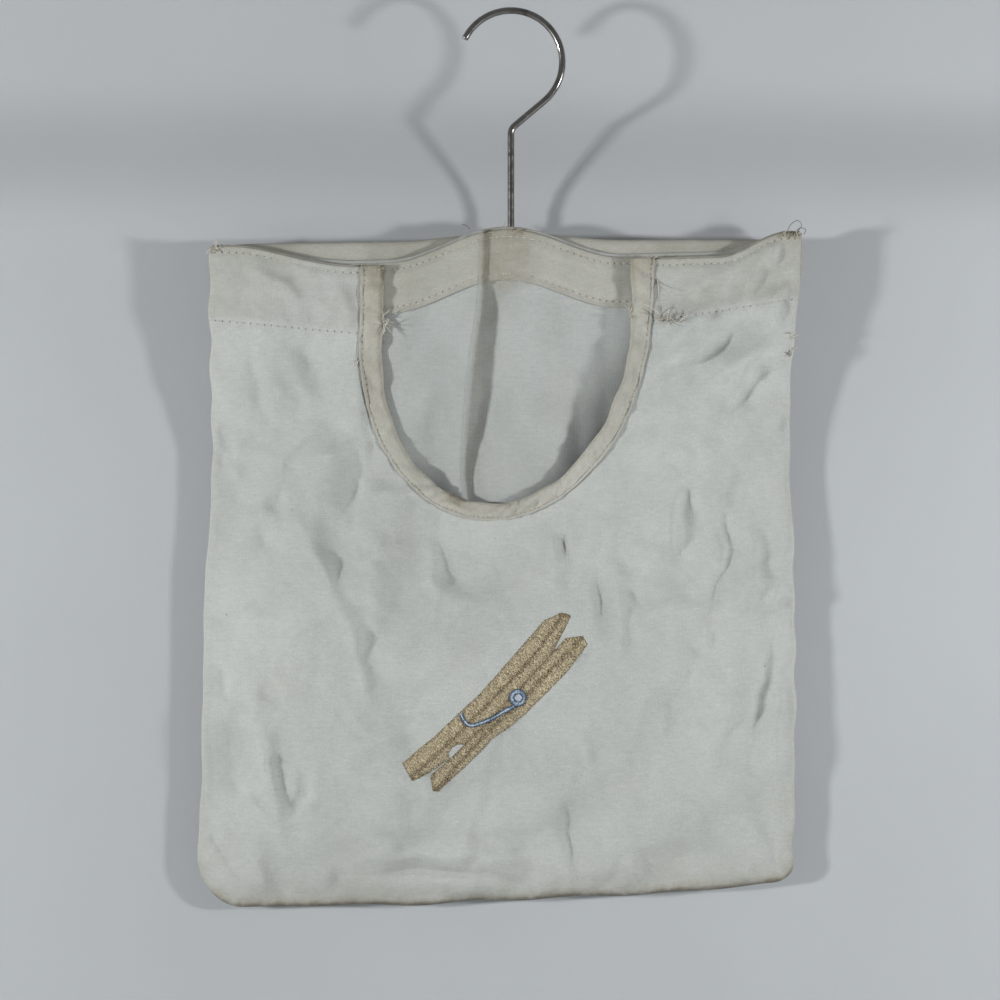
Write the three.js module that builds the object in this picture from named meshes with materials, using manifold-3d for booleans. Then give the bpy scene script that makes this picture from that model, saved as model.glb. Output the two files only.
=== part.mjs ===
// A cloth peg bag with a bound U-shaped mouth. A sleeve behind its top edge holds a wooden hanger bar,
// and a bent wire hook swivels in the bar. Millimetres, +Z up. The origin is the hook's seat, the
// inside top of its bend, above the middle of the bar. The bag's front faces -Y.

import * as THREE from 'three';
import { mergeVertices } from 'three/addons/utils/BufferGeometryUtils.js';
import Module from 'manifold-3d';

// Cloth and clearances
const clothThickness = 0.8;
const tapeThickness = 0.8;
const threadThickness = 0.8;
const layerGap = 0.3; // clearance between neighbouring pieces
const seamWidth = 10; // turned-in edge along the sides and the bottom

// Bag
const bagDrop = 117; // from the hook's seat down to the bag's top corners
const bagWidth = 300; // across the top corners
const bagFlare = 6; // how much wider the bag is at the bottom
const bagHeight = 336;
const bottomCornerRadius = 20;
const bellyDepth = 26; // fullness of the front at its deepest place
const bellyHeight = 118; // height of that place above the bottom edge
const bellyRound = 2.2; // how squarely the front rolls in at the bottom
const sideRound = 2.4; // how squarely the front rolls in at the sides
const mouthSlack = 9; // how far the front's top edge stands off the back
const backFall = 13; // how far the back hangs behind its own top edge
const backFallLength = 100; // height over which the back eases there

// How the front lies close to the back round the mouth, as shares of its fullness that it loses
const closeAbove = 0.72; // along the top edge
const closeAboveDepth = 78;
const closeAboveEase = 50;
const closeBeside = 0.85; // left of the mouth
const closeBesideX = -72;
const closeBesideDrop = 68; // below the top corners
const closeBesideWidth = 80;
const closeBesideHeight = 105;
const closeBelow = 0.88; // at the mouth's bottom
const closeBelowDrop = 141; // below the top corners
const closeBelowReach = 95;

// Lapped fold in the back, below the hook: its left side stands over a hollow on its right
const lapX = -20;
const lapStep = 6; // width of the step between the two sides
const lapRise = 3.5;
const lapRiseReach = 60;
const lapRiseDrop = 113; // below the top corners, where the rise has faded
const lapHollow = 5;
const lapHollowReach = 32;
const lapHollowDrop = 140; // below the top corners, where the hollow has faded
const lapFade = 30;

// Top edges and facings
const frontSag = 12; // drop of the front's top edge from the corners to the mouth
const sagStart = 143; // from the middle, where the top edges start to drop
const leftFall = 66; // across, over which they drop on the left
const rightFall = 34; // across, over which they drop on the right
const frontFacingDepth = 35;
const backCrown = 7; // rise of the back's top edge at the hook
const backDip = 8.5; // sag of the back's top edge between hook and corners
const backFacingDepth = 24;
const crownSpread = 60; // half the width of the rise at the hook

// Mouth and its binding
const mouthWidth = 126; // clear width between the bound edges
const mouthStraight = 43; // from the top corners down to where the sides start to curve
const mouthRound = 87; // height of the curved part
const bindingWidth = 12.7;

// Hanger bar and sleeve
const barThickness = 12;
const barHeight = 14;
const barEndRoom = 20; // cloth beyond each end of the bar
const barEdgeRadius = 2.5;
const barEndRound = 3;
const barLift = 0.6; // sleeve's top edge above the bag's corners, leaving out its crown
const barArmFall = 2.3; // drop of the bar's arms from the middle to the bag's sides
const barCrown = 4; // rise of the bar's top at the hook
const sleeveTaper = 7; // length over which the sleeve draws in past the bar's ends

// Hook, its head and washer
const hookWire = 3.5;
const hookInnerRadius = 24.6;
const hookTipAngle = 153; // degrees from +X, where the wire is cut
const hookLeaveAngle = -50; // degrees from +X, where the bend runs out into the slanting straight
const hookNeckRadius = 6; // bend between the slanting straight and the shank
const hookHeadDiameter = 6;
const hookHeadHeight = 2.2;
const washerDiameter = 8;
const washerThickness = 1;
const headRecess = 0.6; // head above the bar's underside
const sleeveHoleRoom = 1; // worn hole round the shank

// Corner tacks
const tackLength = 12;
const tackDrop = 6;
const tackRound = 1.5; // inside the top of each tack

// Embroidered peg, drawn along its own length with the jaw at the low end
const pegLength = 113;
const pegTilt = 45; // degrees above +X
const pegCentreX = -8;
const pegCentreHeight = 100; // above the bag's bottom edge
const pegJawWidth = 9.5; // each half, at the jaw
const pegSpringWidth = 11; // each half, at the spring
const pegHandleWidth = 8.5; // each half, at the handle end
const pegSplit = 0.9; // between the closed halves
const pegHandleGap = 5; // between the handle ends
const pegNotchRadius = 2.6; // half-round notch for the line
const pegNotchSetback = 24; // from the jaw's end
const pegSpringSetback = 48; // from the handle end
const springRadius = 4.6;
const springEyeRadius = 1.5;
const springArmLength = 24;
const springArmWidth = 2;
const springToeLength = 5;

// Facets
const gridColumns = 20;
const gridRows = 22;
const edgeSteps = 24;
const barSteps = 16;
const roundSteps = 24;
const wireHalfSides = 6; // facets in half a turn round the wire
const wireSteps = 64;
const cornerSteps = 3;

// Places worked out from the sizes above
const halfWidth = bagWidth / 2;
const cornerZ = -bagDrop;
const bottomZ = cornerZ - bagHeight;
const layerPitch = clothThickness + layerGap;
const mouthOuter = mouthWidth / 2 + bindingWidth;
const mouthCurveZ = cornerZ - mouthStraight;
const barHalfLength = halfWidth - barEndRoom;
const sleeveFrontY = -(barThickness / 2 + layerPitch);
const backTopY = sleeveFrontY - layerGap - clothThickness / 2;
const frontStack = 3 * layerPitch; // back, two layers between, front
const clearOfBag = 4 * (bellyDepth + backFall + barThickness); // reach of a cutter through the bag

const wasm = await Module();
wasm.setup();

// Solids: geometry to a solid that can be joined and cut, and back to geometry.
function toSolid(geometry) {
  const bare = geometry.clone();
  bare.deleteAttribute('normal');
  bare.deleteAttribute('uv');
  const merged = mergeVertices(bare, 1e-4);
  const vertProperties = new Float32Array(merged.attributes.position.array);
  const triVerts = new Uint32Array(merged.index.array);
  return new wasm.Manifold(new wasm.Mesh({ numProp: 3, vertProperties, triVerts }));
}

function toGeometry(solid) {
  const mesh = solid.getMesh();
  const geometry = new THREE.BufferGeometry();
  geometry.setAttribute('position', new THREE.BufferAttribute(new Float32Array(mesh.vertProperties), 3));
  geometry.setIndex(new THREE.BufferAttribute(new Uint32Array(mesh.triVerts), 1));
  const faceted = geometry.toNonIndexed();
  faceted.computeVertexNormals();
  return faceted;
}

function fromTriangles(points, triangles) {
  const geometry = new THREE.BufferGeometry();
  geometry.setAttribute('position', new THREE.Float32BufferAttribute(points.flat(), 3));
  geometry.setIndex(triangles.flat());
  return toSolid(geometry);
}

// A shape drawn in X and Z, standing right through the bag from front to back.
function prism(shape) {
  const geometry = new THREE.ExtrudeGeometry(shape, {
    depth: clearOfBag,
    bevelEnabled: false,
    curveSegments: roundSteps,
  });
  geometry.rotateX(Math.PI / 2);
  geometry.translate(0, clearOfBag / 2, 0);
  return toSolid(geometry);
}

function evenly(from, to, steps) {
  return Array.from({ length: steps + 1 }, (_, i) => from + ((to - from) * i) / steps);
}

// A smooth hump, 1 in the middle and 0 from one spread away.
function hump(share) {
  return Math.abs(share) < 1 ? (1 + Math.cos(Math.PI * share)) / 2 : 0;
}

function ease(share) {
  const kept = Math.min(Math.max(share, 0), 1);
  return kept * kept * (3 - 2 * kept);
}

// Edges of the bag, each as a height over X or a half width over Z.
function halfWidthAt(z) {
  return halfWidth + ((bagFlare / 2) * (cornerZ - z)) / bagHeight;
}

function sagShare(x) {
  return ease((sagStart - Math.abs(x)) / (x < 0 ? leftFall : rightFall));
}

function frontTop(x) {
  return cornerZ - frontSag * sagShare(x);
}

function backTop(x) {
  return cornerZ - backDip * sagShare(x) + (backCrown + backDip) * hump(x / crownSpread);
}

function barTop(x) {
  const arm = cornerZ + barLift - layerPitch - (barArmFall * Math.abs(x)) / halfWidth;
  return arm + barCrown * hump(x / crownSpread);
}

function barBottom(x) {
  return barTop(x) - barCrown * hump(x / crownSpread) - barHeight;
}

// Depths of the cloth: the back hangs straight behind its sleeve and then eases back to plumb, with a
// lapped fold in it, and the front bellies forward from it but lies close to it round the mouth.
const backFallStart = barBottom(halfWidth) - layerPitch - layerGap;

function backDepth(z) {
  return backTopY + backFall * ease((backFallStart - z) / backFallLength);
}

function lappedBackDepth(x, z) {
  const drop = cornerZ - z;
  const run = x - lapX;
  const left = ease(0.5 - run / lapStep);
  const rise = left * hump(run / lapRiseReach) * ease((lapRiseDrop - drop) / lapFade);
  const below = ease((backFallStart - z) / lapFade) * ease((lapHollowDrop - drop) / lapFade);
  const hollow = (1 - left) * hump(run / lapHollowReach) * below;
  return backDepth(z) - lapRise * rise + lapHollow * hollow;
}

function fullness(z) {
  const height = z - bottomZ;
  if (height < bellyHeight) {
    const share = Math.min(1 - height / bellyHeight, 1);
    return bellyDepth * (1 - share ** bellyRound);
  }
  const share = Math.min((height - bellyHeight) / (bagHeight - bellyHeight), 1);
  return bellyDepth + ((mouthSlack - bellyDepth) * (1 - Math.cos(Math.PI * share))) / 2;
}

function looseness(x, z) {
  const drop = cornerZ - z;
  const above = ease((closeAboveDepth - drop) / closeAboveEase);
  const besideAcross = hump((x - closeBesideX) / closeBesideWidth);
  const beside = besideAcross * hump((drop - closeBesideDrop) / closeBesideHeight);
  const below = hump(Math.hypot(x, drop - closeBelowDrop) / closeBelowReach);
  return (1 - closeAbove * above) * (1 - closeBeside * beside) * (1 - closeBelow * below);
}

function frontDepth(x, z) {
  const across = Math.min(Math.abs(x) / halfWidthAt(z), 1);
  const full = fullness(z) * (1 - across ** sideRound);
  return backDepth(z) - frontStack - full * looseness(x, z);
}

// A sheet of cloth: a grid over the whole bag at the given depth, with a thickness and a shift in Y.
// All sheets share their rows, so that the layers' facets stay parallel.
const gridMargin = 0.02;
const gridTop = cornerZ + 2 * (backCrown + barLift + barCrown);
const gridBottom = bottomZ - gridMargin * bagHeight;
const upperRows = evenly(gridTop, backFallStart, 3);
const lowerRows = evenly(backFallStart, gridBottom, gridRows);
const rows = [...upperRows, ...lowerRows.slice(1)].reverse();

function sheet(depthAt, thickness, shift, shares) {
  const points = [];
  const triangles = [];
  for (const side of [-1, 1]) {
    for (const z of rows) {
      for (const share of shares) {
        const x = share * halfWidthAt(z);
        points.push([x, depthAt(x, z) + shift + (side * thickness) / 2, z]);
      }
    }
  }
  const wide = shares.length;
  const high = rows.length;
  const front = (i, j) => j * wide + i;
  const back = (i, j) => wide * high + front(i, j);
  for (let j = 0; j < high - 1; j += 1) {
    for (let i = 0; i < wide - 1; i += 1) {
      triangles.push([front(i, j), front(i + 1, j), front(i + 1, j + 1)]);
      triangles.push([front(i, j), front(i + 1, j + 1), front(i, j + 1)]);
      triangles.push([back(i, j), back(i + 1, j + 1), back(i + 1, j)]);
      triangles.push([back(i, j), back(i, j + 1), back(i + 1, j + 1)]);
    }
  }
  for (let i = 0; i < wide - 1; i += 1) {
    const top = high - 1;
    triangles.push([front(i, 0), back(i, 0), back(i + 1, 0)]);
    triangles.push([front(i, 0), back(i + 1, 0), front(i + 1, 0)]);
    triangles.push([front(i, top), back(i + 1, top), back(i, top)]);
    triangles.push([front(i, top), front(i + 1, top), back(i + 1, top)]);
  }
  for (let j = 0; j < high - 1; j += 1) {
    const right = wide - 1;
    triangles.push([front(0, j), front(0, j + 1), back(0, j + 1)]);
    triangles.push([front(0, j), back(0, j + 1), back(0, j)]);
    triangles.push([front(right, j), back(right, j + 1), front(right, j + 1)]);
    triangles.push([front(right, j), back(right, j), back(right, j + 1)]);
  }
  return fromTriangles(points, triangles);
}

const frontShares = evenly(-1 - gridMargin, 1 + gridMargin, gridColumns);
const lapLeftRuns = [-lapRiseReach, -lapRiseReach / 2, -lapStep / 2];
const lapRightRuns = [lapStep / 2, lapHollowReach / 2, lapHollowReach];
const lapShares = [...lapLeftRuns, ...lapRightRuns].map((run) => (lapX + run) / halfWidth);
const backShares = [-1 - gridMargin, ...lapShares, 1 + gridMargin];

function frontSheet(thickness, shift) {
  return sheet(frontDepth, thickness, shift, frontShares);
}

function backSheet(thickness, shift) {
  return sheet(lappedBackDepth, thickness, shift, backShares);
}

// Outlines, drawn in X and Z
function bagOutline(topEdge, inset) {
  const shape = new THREE.Shape();
  const radius = Math.max(bottomCornerRadius - inset, layerGap);
  const low = bottomZ + inset;
  const side = halfWidthAt(low + radius) - inset;
  const top = evenly(-halfWidth + inset, halfWidth - inset, 2 * edgeSteps);
  shape.moveTo(side - radius, low);
  shape.absarc(side - radius, low + radius, radius, -Math.PI / 2, 0, false);
  for (const x of top.reverse()) {
    shape.lineTo(x, topEdge(x));
  }
  shape.absarc(-side + radius, low + radius, radius, Math.PI, (3 * Math.PI) / 2, false);
  shape.closePath();
  return shape;
}

// A strip below a top edge, between two places across the bag.
function stripOutline(topEdge, depth, from, to) {
  const across = evenly(from, to, edgeSteps);
  const along = across.map((x) => new THREE.Vector2(x, topEdge(x)));
  const below = across.map((x) => new THREE.Vector2(x, topEdge(x) - depth)).reverse();
  return new THREE.Shape([...below, ...along].reverse());
}

// The mouth, open at the top, grown outwards all round by the given amount.
function mouthOutline(grow) {
  const half = mouthWidth / 2 + grow;
  const shape = new THREE.Shape();
  shape.moveTo(half, gridTop);
  shape.lineTo(-half, gridTop);
  shape.lineTo(-half, mouthCurveZ);
  shape.absellipse(0, mouthCurveZ, half, mouthRound + grow, Math.PI, 2 * Math.PI, false, 0);
  shape.closePath();
  return shape;
}

function boxBetween(low, high) {
  const size = new THREE.Vector3().subVectors(high, low);
  const middle = new THREE.Vector3().addVectors(high, low).multiplyScalar(0.5);
  const geometry = new THREE.BoxGeometry(size.x, size.y, size.z);
  geometry.translate(middle.x, middle.y, middle.z);
  return toSolid(geometry);
}

// Bag cloth
function makeFrontPanel() {
  const cutEdge = tapeThickness + layerGap;
  return frontSheet(clothThickness, 0)
    .intersect(prism(bagOutline(frontTop, 0)))
    .subtract(prism(mouthOutline(cutEdge)));
}

function makeBackPanel() {
  return backSheet(clothThickness, 0).intersect(prism(bagOutline(backTop, 0)));
}

function makeFrontFacing(side) {
  const strip = stripOutline(frontTop, frontFacingDepth, 0, side * halfWidth);
  return frontSheet(clothThickness, layerPitch)
    .intersect(prism(strip))
    .subtract(prism(mouthOutline(bindingWidth + layerGap)));
}

function makeBackFacing() {
  const strip = stripOutline(backTop, backFacingDepth, -halfWidth, halfWidth);
  return backSheet(clothThickness, -layerPitch).intersect(prism(strip));
}

// The turned-in edges of front and back lie between the panels, below the facings.
function makeSeamAllowance() {
  const innerSide = halfWidth - seamWidth;
  const frontHem = frontTop(innerSide) - frontFacingDepth;
  const backHem = backTop(innerSide) - backFacingDepth;
  const top = Math.min(frontHem, backHem) - layerGap;
  const plies = 2 * clothThickness + layerGap;
  const between = -(frontStack / 2);
  const level = () => top;
  return backSheet(plies, between)
    .intersect(prism(bagOutline(level, 0)))
    .subtract(prism(bagOutline(() => gridTop, seamWidth)));
}

// Tape folded over the mouth's cut edge: a channel that follows the front's belly, with the cloth in it.
function makeMouthBinding() {
  const channel = clothThickness + 2 * layerGap;
  const whole = channel + 2 * tapeThickness;
  const topEnd = frontTop(mouthOuter) + tapeThickness;
  const above = boxBetween(
    new THREE.Vector3(-bagWidth, -clearOfBag, topEnd),
    new THREE.Vector3(bagWidth, clearOfBag, gridTop + bagHeight),
  );
  const slot = frontSheet(channel, 0).subtract(prism(mouthOutline(tapeThickness)));
  return frontSheet(whole, 0)
    .intersect(prism(mouthOutline(bindingWidth)))
    .subtract(prism(mouthOutline(0)))
    .subtract(slot)
    .subtract(above);
}

// Lofts along X through rings of points in Y and Z, solid or hollow
function roundedRing(frontY, rearY, lowZ, highZ, radius) {
  const limit = 0.45 * Math.min(rearY - frontY, highZ - lowZ);
  const r = Math.min(radius, limit);
  const centres = [
    [rearY - r, highZ - r],
    [frontY + r, highZ - r],
    [frontY + r, lowZ + r],
    [rearY - r, lowZ + r],
  ];
  return centres.flatMap(([y, z], quarter) =>
    evenly(quarter, quarter + 1, cornerSteps).map((turn) => {
      const angle = (Math.PI / 2) * turn;
      return [y + r * Math.cos(angle), z + r * Math.sin(angle)];
    }),
  );
}

function loftPoints(stations, ringAt) {
  return stations.flatMap((x) => ringAt(x).map(([y, z]) => [x, y, z]));
}

function loftSides(count, stations, first, inward) {
  const triangles = [];
  for (let s = 0; s < stations - 1; s += 1) {
    for (let k = 0; k < count; k += 1) {
      const next = (k + 1) % count;
      const a = first + s * count + k;
      const b = first + s * count + next;
      const c = first + (s + 1) * count + next;
      const d = first + (s + 1) * count + k;
      triangles.push(inward ? [a, c, b] : [a, b, c]);
      triangles.push(inward ? [a, d, c] : [a, c, d]);
    }
  }
  return triangles;
}

function loftSolid(stations, ringAt) {
  const points = loftPoints(stations, ringAt);
  const count = points.length / stations.length;
  const triangles = loftSides(count, stations.length, 0, false);
  const last = points.length - count;
  for (let k = 1; k < count - 1; k += 1) {
    triangles.push([0, k + 1, k]);
    triangles.push([last, last + k, last + k + 1]);
  }
  return fromTriangles(points, triangles);
}

function loftTube(stations, outerAt, innerAt) {
  const outer = loftPoints(stations, outerAt);
  const inner = loftPoints(stations, innerAt);
  const count = outer.length / stations.length;
  const hole = outer.length;
  const last = outer.length - count;
  const triangles = [
    ...loftSides(count, stations.length, 0, false),
    ...loftSides(count, stations.length, hole, true),
  ];
  for (let k = 0; k < count; k += 1) {
    const next = (k + 1) % count;
    triangles.push([k, hole + k, hole + next]);
    triangles.push([k, hole + next, next]);
    triangles.push([last + k, hole + last + next, hole + last + k]);
    triangles.push([last + k, last + next, hole + last + next]);
  }
  return fromTriangles([...outer, ...inner], triangles);
}

// An upright round post on the hook's axis, from one height to another.
function post(radius, lowZ, highZ) {
  const geometry = new THREE.CylinderGeometry(radius, radius, highZ - lowZ, roundSteps);
  geometry.rotateX(Math.PI / 2);
  geometry.translate(0, 0, (lowZ + highZ) / 2);
  return toSolid(geometry);
}

// Heights of the pieces stacked in the bar's counterbore, from the bar's underside up
const barUnderside = barBottom(0);
const headLow = barUnderside + headRecess;
const headHigh = headLow + hookHeadHeight;
const washerLow = headHigh + layerGap;
const washerHigh = washerLow + washerThickness;
const counterboreTop = washerHigh + layerGap;
const shankHole = hookWire / 2 + layerGap;

function makeHangerBar() {
  const half = barThickness / 2;
  const rounding = evenly(0, barEndRound, cornerSteps);
  const body = evenly(-barHalfLength + barEndRound, barHalfLength - barEndRound, barSteps);
  const stations = [
    ...rounding.slice(0, -1).map((run) => run - barHalfLength),
    ...body,
    ...rounding.slice(0, -1).map((run) => barHalfLength - run).reverse(),
  ];
  const ringAt = (x) => {
    const beyond = Math.max(Math.abs(x) - barHalfLength + barEndRound, 0) / barEndRound;
    const drawn = barEndRound * (1 - Math.sqrt(Math.max(1 - beyond * beyond, 0)));
    return roundedRing(-half + drawn, half - drawn, barBottom(x) + drawn, barTop(x) - drawn, barEdgeRadius);
  };
  return loftSolid(stations, ringAt)
    .subtract(post(shankHole, counterboreTop - layerGap, gridTop))
    .subtract(post(washerDiameter / 2 + layerGap, barUnderside - barHeight, counterboreTop));
}

// The sleeve fits the bar all round, and past the bar's ends its rear wall comes in to the front wall.
function makeHangerSleeve() {
  const body = evenly(-barHalfLength - layerGap, barHalfLength + layerGap, barSteps);
  const taper = evenly(0, sleeveTaper, cornerSteps).slice(1);
  const endX = barHalfLength + layerGap;
  const stations = [
    -halfWidth,
    ...taper.map((run) => -endX - run).reverse(),
    ...body,
    ...taper.map((run) => endX + run),
    halfWidth,
  ];
  const ringAt = (grow) => (x) => {
    const past = ease((Math.abs(x) - endX) / sleeveTaper);
    const inside = barThickness + 2 * layerGap;
    const depth = inside + (layerGap - inside) * past;
    const frontY = -inside / 2;
    const low = barBottom(x) - layerGap - grow;
    const high = barTop(x) + layerGap + grow;
    return roundedRing(frontY - grow, frontY + depth + grow, low, high, barEdgeRadius + layerGap + grow);
  };
  return loftTube(stations, ringAt(clothThickness), ringAt(0))
    .subtract(post(hookWire / 2 + sleeveHoleRoom, barTop(0) - layerGap / 2, gridTop));
}

// The hook's wire, drawn in X and Z from its cut tip over the bend and down the shank.
class WireLine extends THREE.Curve {
  constructor(path) {
    super();
    this.path = path;
  }

  getPoint(share) {
    const point = this.path.getPoint(share);
    return new THREE.Vector3(point.x, 0, point.y);
  }
}

function hookPath() {
  const radius = hookInnerRadius + hookWire / 2;
  const leave = THREE.MathUtils.degToRad(hookLeaveAngle);
  const turn = -leave;
  const centreZ = -hookInnerRadius;
  const leaveX = radius * Math.cos(leave);
  const leaveZ = centreZ + radius * Math.sin(leave);
  const straight = leaveX / Math.sin(turn);
  const neckZ = leaveZ - straight * Math.cos(turn);
  const setback = hookNeckRadius * Math.tan(turn / 2);
  const path = new THREE.Path();
  path.absarc(0, centreZ, radius, THREE.MathUtils.degToRad(hookTipAngle), leave, true);
  path.absarc(hookNeckRadius, neckZ - setback, hookNeckRadius, Math.PI - turn, Math.PI, false);
  path.lineTo(0, headLow + hookHeadHeight / 2);
  return path;
}

function makeHook() {
  const section = new THREE.Shape();
  section.absarc(0, 0, hookWire / 2, 0, 2 * Math.PI, false);
  const wire = new THREE.ExtrudeGeometry(section, {
    steps: wireSteps,
    curveSegments: wireHalfSides,
    extrudePath: new WireLine(hookPath()),
  });
  const edge = hookHeadHeight / 4;
  const profile = [
    [0, 0],
    [hookHeadDiameter / 2 - edge, 0],
    [hookHeadDiameter / 2, edge],
    [hookHeadDiameter / 2, hookHeadHeight - edge],
    [hookHeadDiameter / 2 - edge, hookHeadHeight],
    [0, hookHeadHeight],
  ].map(([r, z]) => new THREE.Vector2(r, z));
  const head = new THREE.LatheGeometry(profile, roundSteps);
  head.rotateX(Math.PI / 2);
  head.translate(0, 0, headLow);
  return toSolid(wire).add(toSolid(head));
}

function makeHookWasher() {
  return post(washerDiameter / 2, washerLow, washerHigh)
    .subtract(post(shankHole, washerLow - washerThickness, washerHigh + washerThickness));
}

// Overcast thread over the stacked layers at a top corner: a saddle, open below and at its ends.
function saddleOutline(frontY, rearY, lowZ, topZ) {
  const outerRound = tackRound + threadThickness;
  const roundZ = topZ - tackRound;
  const shape = new THREE.Shape();
  shape.moveTo(frontY, lowZ);
  shape.absarc(frontY + tackRound, roundZ, tackRound, Math.PI, Math.PI / 2, true);
  shape.absarc(rearY - tackRound, roundZ, tackRound, Math.PI / 2, 0, true);
  shape.lineTo(rearY, lowZ);
  shape.lineTo(rearY + threadThickness, lowZ);
  shape.absarc(rearY - tackRound, roundZ, outerRound, 0, Math.PI / 2, false);
  shape.absarc(frontY + tackRound, roundZ, outerRound, Math.PI / 2, Math.PI, false);
  shape.lineTo(frontY - threadThickness, lowZ);
  shape.closePath();
  return shape;
}

function makeCornerTack(side) {
  const innerX = halfWidth - tackLength;
  const across = [innerX, halfWidth];
  const frontFace = Math.min(...across.map((x) => frontDepth(x, cornerZ - tackDrop)));
  const insideFront = frontFace - clothThickness / 2 - 1.5 * layerGap;
  const sleeveEnd = 2 * clothThickness + layerGap;
  const insideRear = sleeveFrontY + sleeveEnd + layerGap;
  const tops = across.flatMap((x) => [frontTop(x), backTop(x), barTop(x) + layerPitch]);
  const insideTop = Math.max(...tops) + 2 * layerGap;
  const outline = saddleOutline(insideFront, insideRear, insideTop - tackDrop, insideTop);
  const geometry = new THREE.ExtrudeGeometry(outline, {
    depth: tackLength,
    bevelEnabled: false,
    curveSegments: cornerSteps,
  });
  const alongX = new THREE.Matrix4().makeBasis(
    new THREE.Vector3(0, 1, 0),
    new THREE.Vector3(0, 0, 1),
    new THREE.Vector3(1, 0, 0),
  );
  geometry.applyMatrix4(alongX);
  geometry.translate(side > 0 ? innerX : -halfWidth, 0, 0);
  return toSolid(geometry);
}

// Embroidery: raised thread on the front's outer face. Outlines are drawn along the peg's own length.
function motifPrism(shape) {
  const turned = shape.getPoints(roundSteps).map((point) => {
    point.rotateAround(new THREE.Vector2(), THREE.MathUtils.degToRad(pegTilt));
    return point.add(new THREE.Vector2(pegCentreX, bottomZ + pegCentreHeight));
  });
  return prism(new THREE.Shape(turned));
}

const pegSpringAt = pegLength / 2 - pegSpringSetback;

function pegHalfOutline(side) {
  const jawEnd = -pegLength / 2;
  const handleEnd = pegLength / 2;
  const notchAt = jawEnd + pegNotchSetback;
  const inner = (side * pegSplit) / 2;
  const handleInner = (side * pegHandleGap) / 2;
  const shape = new THREE.Shape();
  shape.moveTo(jawEnd, inner);
  shape.lineTo(notchAt - pegNotchRadius, inner);
  shape.absarc(notchAt, inner, pegNotchRadius, Math.PI, side > 0 ? 0 : 2 * Math.PI, side > 0);
  shape.lineTo(pegSpringAt, inner);
  shape.lineTo(handleEnd - pegHandleWidth / 2, handleInner);
  shape.quadraticCurveTo(
    handleEnd + pegHandleWidth / 4,
    handleInner + (side * pegHandleWidth) / 2,
    handleEnd - pegHandleWidth / 2,
    handleInner + side * pegHandleWidth,
  );
  shape.quadraticCurveTo(
    pegSpringAt + pegSpringWidth,
    inner + side * pegSpringWidth,
    pegSpringAt,
    inner + side * pegSpringWidth,
  );
  shape.lineTo(jawEnd + pegJawWidth / 2, inner + side * pegJawWidth);
  shape.quadraticCurveTo(jawEnd, inner + side * pegJawWidth, jawEnd, inner + (side * pegJawWidth) / 2);
  shape.closePath();
  return shape;
}

// The spring's coil, with an arm along the peg and a toe that turns up into the upper half.
function springPrism(grow) {
  const coil = new THREE.Shape();
  coil.absarc(pegSpringAt, 0, springRadius + grow, 0, 2 * Math.PI, false);
  const half = springArmWidth / 2 + grow;
  const armEnd = pegSpringAt - springArmLength;
  const arm = new THREE.Shape();
  arm.moveTo(pegSpringAt, -half);
  arm.lineTo(pegSpringAt, half);
  arm.lineTo(armEnd + half, half);
  arm.lineTo(armEnd + half, springToeLength + grow);
  arm.lineTo(armEnd - half, springToeLength + grow);
  arm.lineTo(armEnd - half, -half);
  arm.closePath();
  return motifPrism(coil).add(motifPrism(arm));
}

function threadSheet() {
  return frontSheet(threadThickness, -(clothThickness + threadThickness) / 2 - layerGap);
}

function makePegHalf(side) {
  return threadSheet().intersect(motifPrism(pegHalfOutline(side))).subtract(springPrism(layerGap));
}

function makeSpring() {
  const eye = new THREE.Shape();
  eye.absarc(pegSpringAt, 0, springEyeRadius, 0, 2 * Math.PI, false);
  return threadSheet().intersect(springPrism(0)).subtract(motifPrism(eye));
}

// Finishes
function finish(color, roughness, metalness) {
  return () => new THREE.MeshStandardMaterial({ color, roughness, metalness });
}

const polishedSteel = finish('#8d8c89', 0.2, 1);
const zincSteel = finish('#9a9c9e', 0.4, 1);
const beech = finish('#c9a878', 0.6, 0);
const cottonDrill = finish('#b8bbb6', 0.95, 0);
const creamTape = finish('#aeac9f', 0.9, 0);
const tanThread = finish('#9d8a68', 0.55, 0);
const blueThread = finish('#5b6f86', 0.5, 0);
const cottonThread = finish('#a39c8b', 0.9, 0);

const bag = new THREE.Group();

function addPiece(name, solid, makeMaterial) {
  const mesh = new THREE.Mesh(toGeometry(solid), makeMaterial());
  mesh.name = name;
  bag.add(mesh);
}

addPiece('hook', makeHook(), polishedSteel);
addPiece('hook_washer', makeHookWasher(), zincSteel);
addPiece('hanger_bar', makeHangerBar(), beech);
addPiece('hanger_sleeve', makeHangerSleeve(), cottonDrill);
addPiece('back_panel', makeBackPanel(), cottonDrill);
addPiece('back_facing', makeBackFacing(), cottonDrill);
addPiece('seam_allowance', makeSeamAllowance(), cottonDrill);
addPiece('front_panel', makeFrontPanel(), cottonDrill);
addPiece('front_facing_left', makeFrontFacing(-1), cottonDrill);
addPiece('front_facing_right', makeFrontFacing(1), cottonDrill);
addPiece('mouth_binding', makeMouthBinding(), creamTape);
addPiece('left_corner_tack', makeCornerTack(-1), cottonThread);
addPiece('right_corner_tack', makeCornerTack(1), cottonThread);
addPiece('embroidered_peg_upper', makePegHalf(1), tanThread);
addPiece('embroidered_peg_lower', makePegHalf(-1), tanThread);
addPiece('embroidered_spring', makeSpring(), blueThread);

export default bag;
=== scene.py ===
"""A sewn cotton peg bag on a wooden hanger bar with a turning wire hook.

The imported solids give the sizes. The cloth is laid over them as thin sheets that hang, crease
and pucker, and the binding, stitches, embroidery and loose threads follow the cloth.
Lengths are in millimetres in the geometry and become metres where a mesh is made.
"""

from __future__ import annotations

import logging
import math
from dataclasses import dataclass
from enum import Enum
from typing import Callable, Sequence

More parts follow.
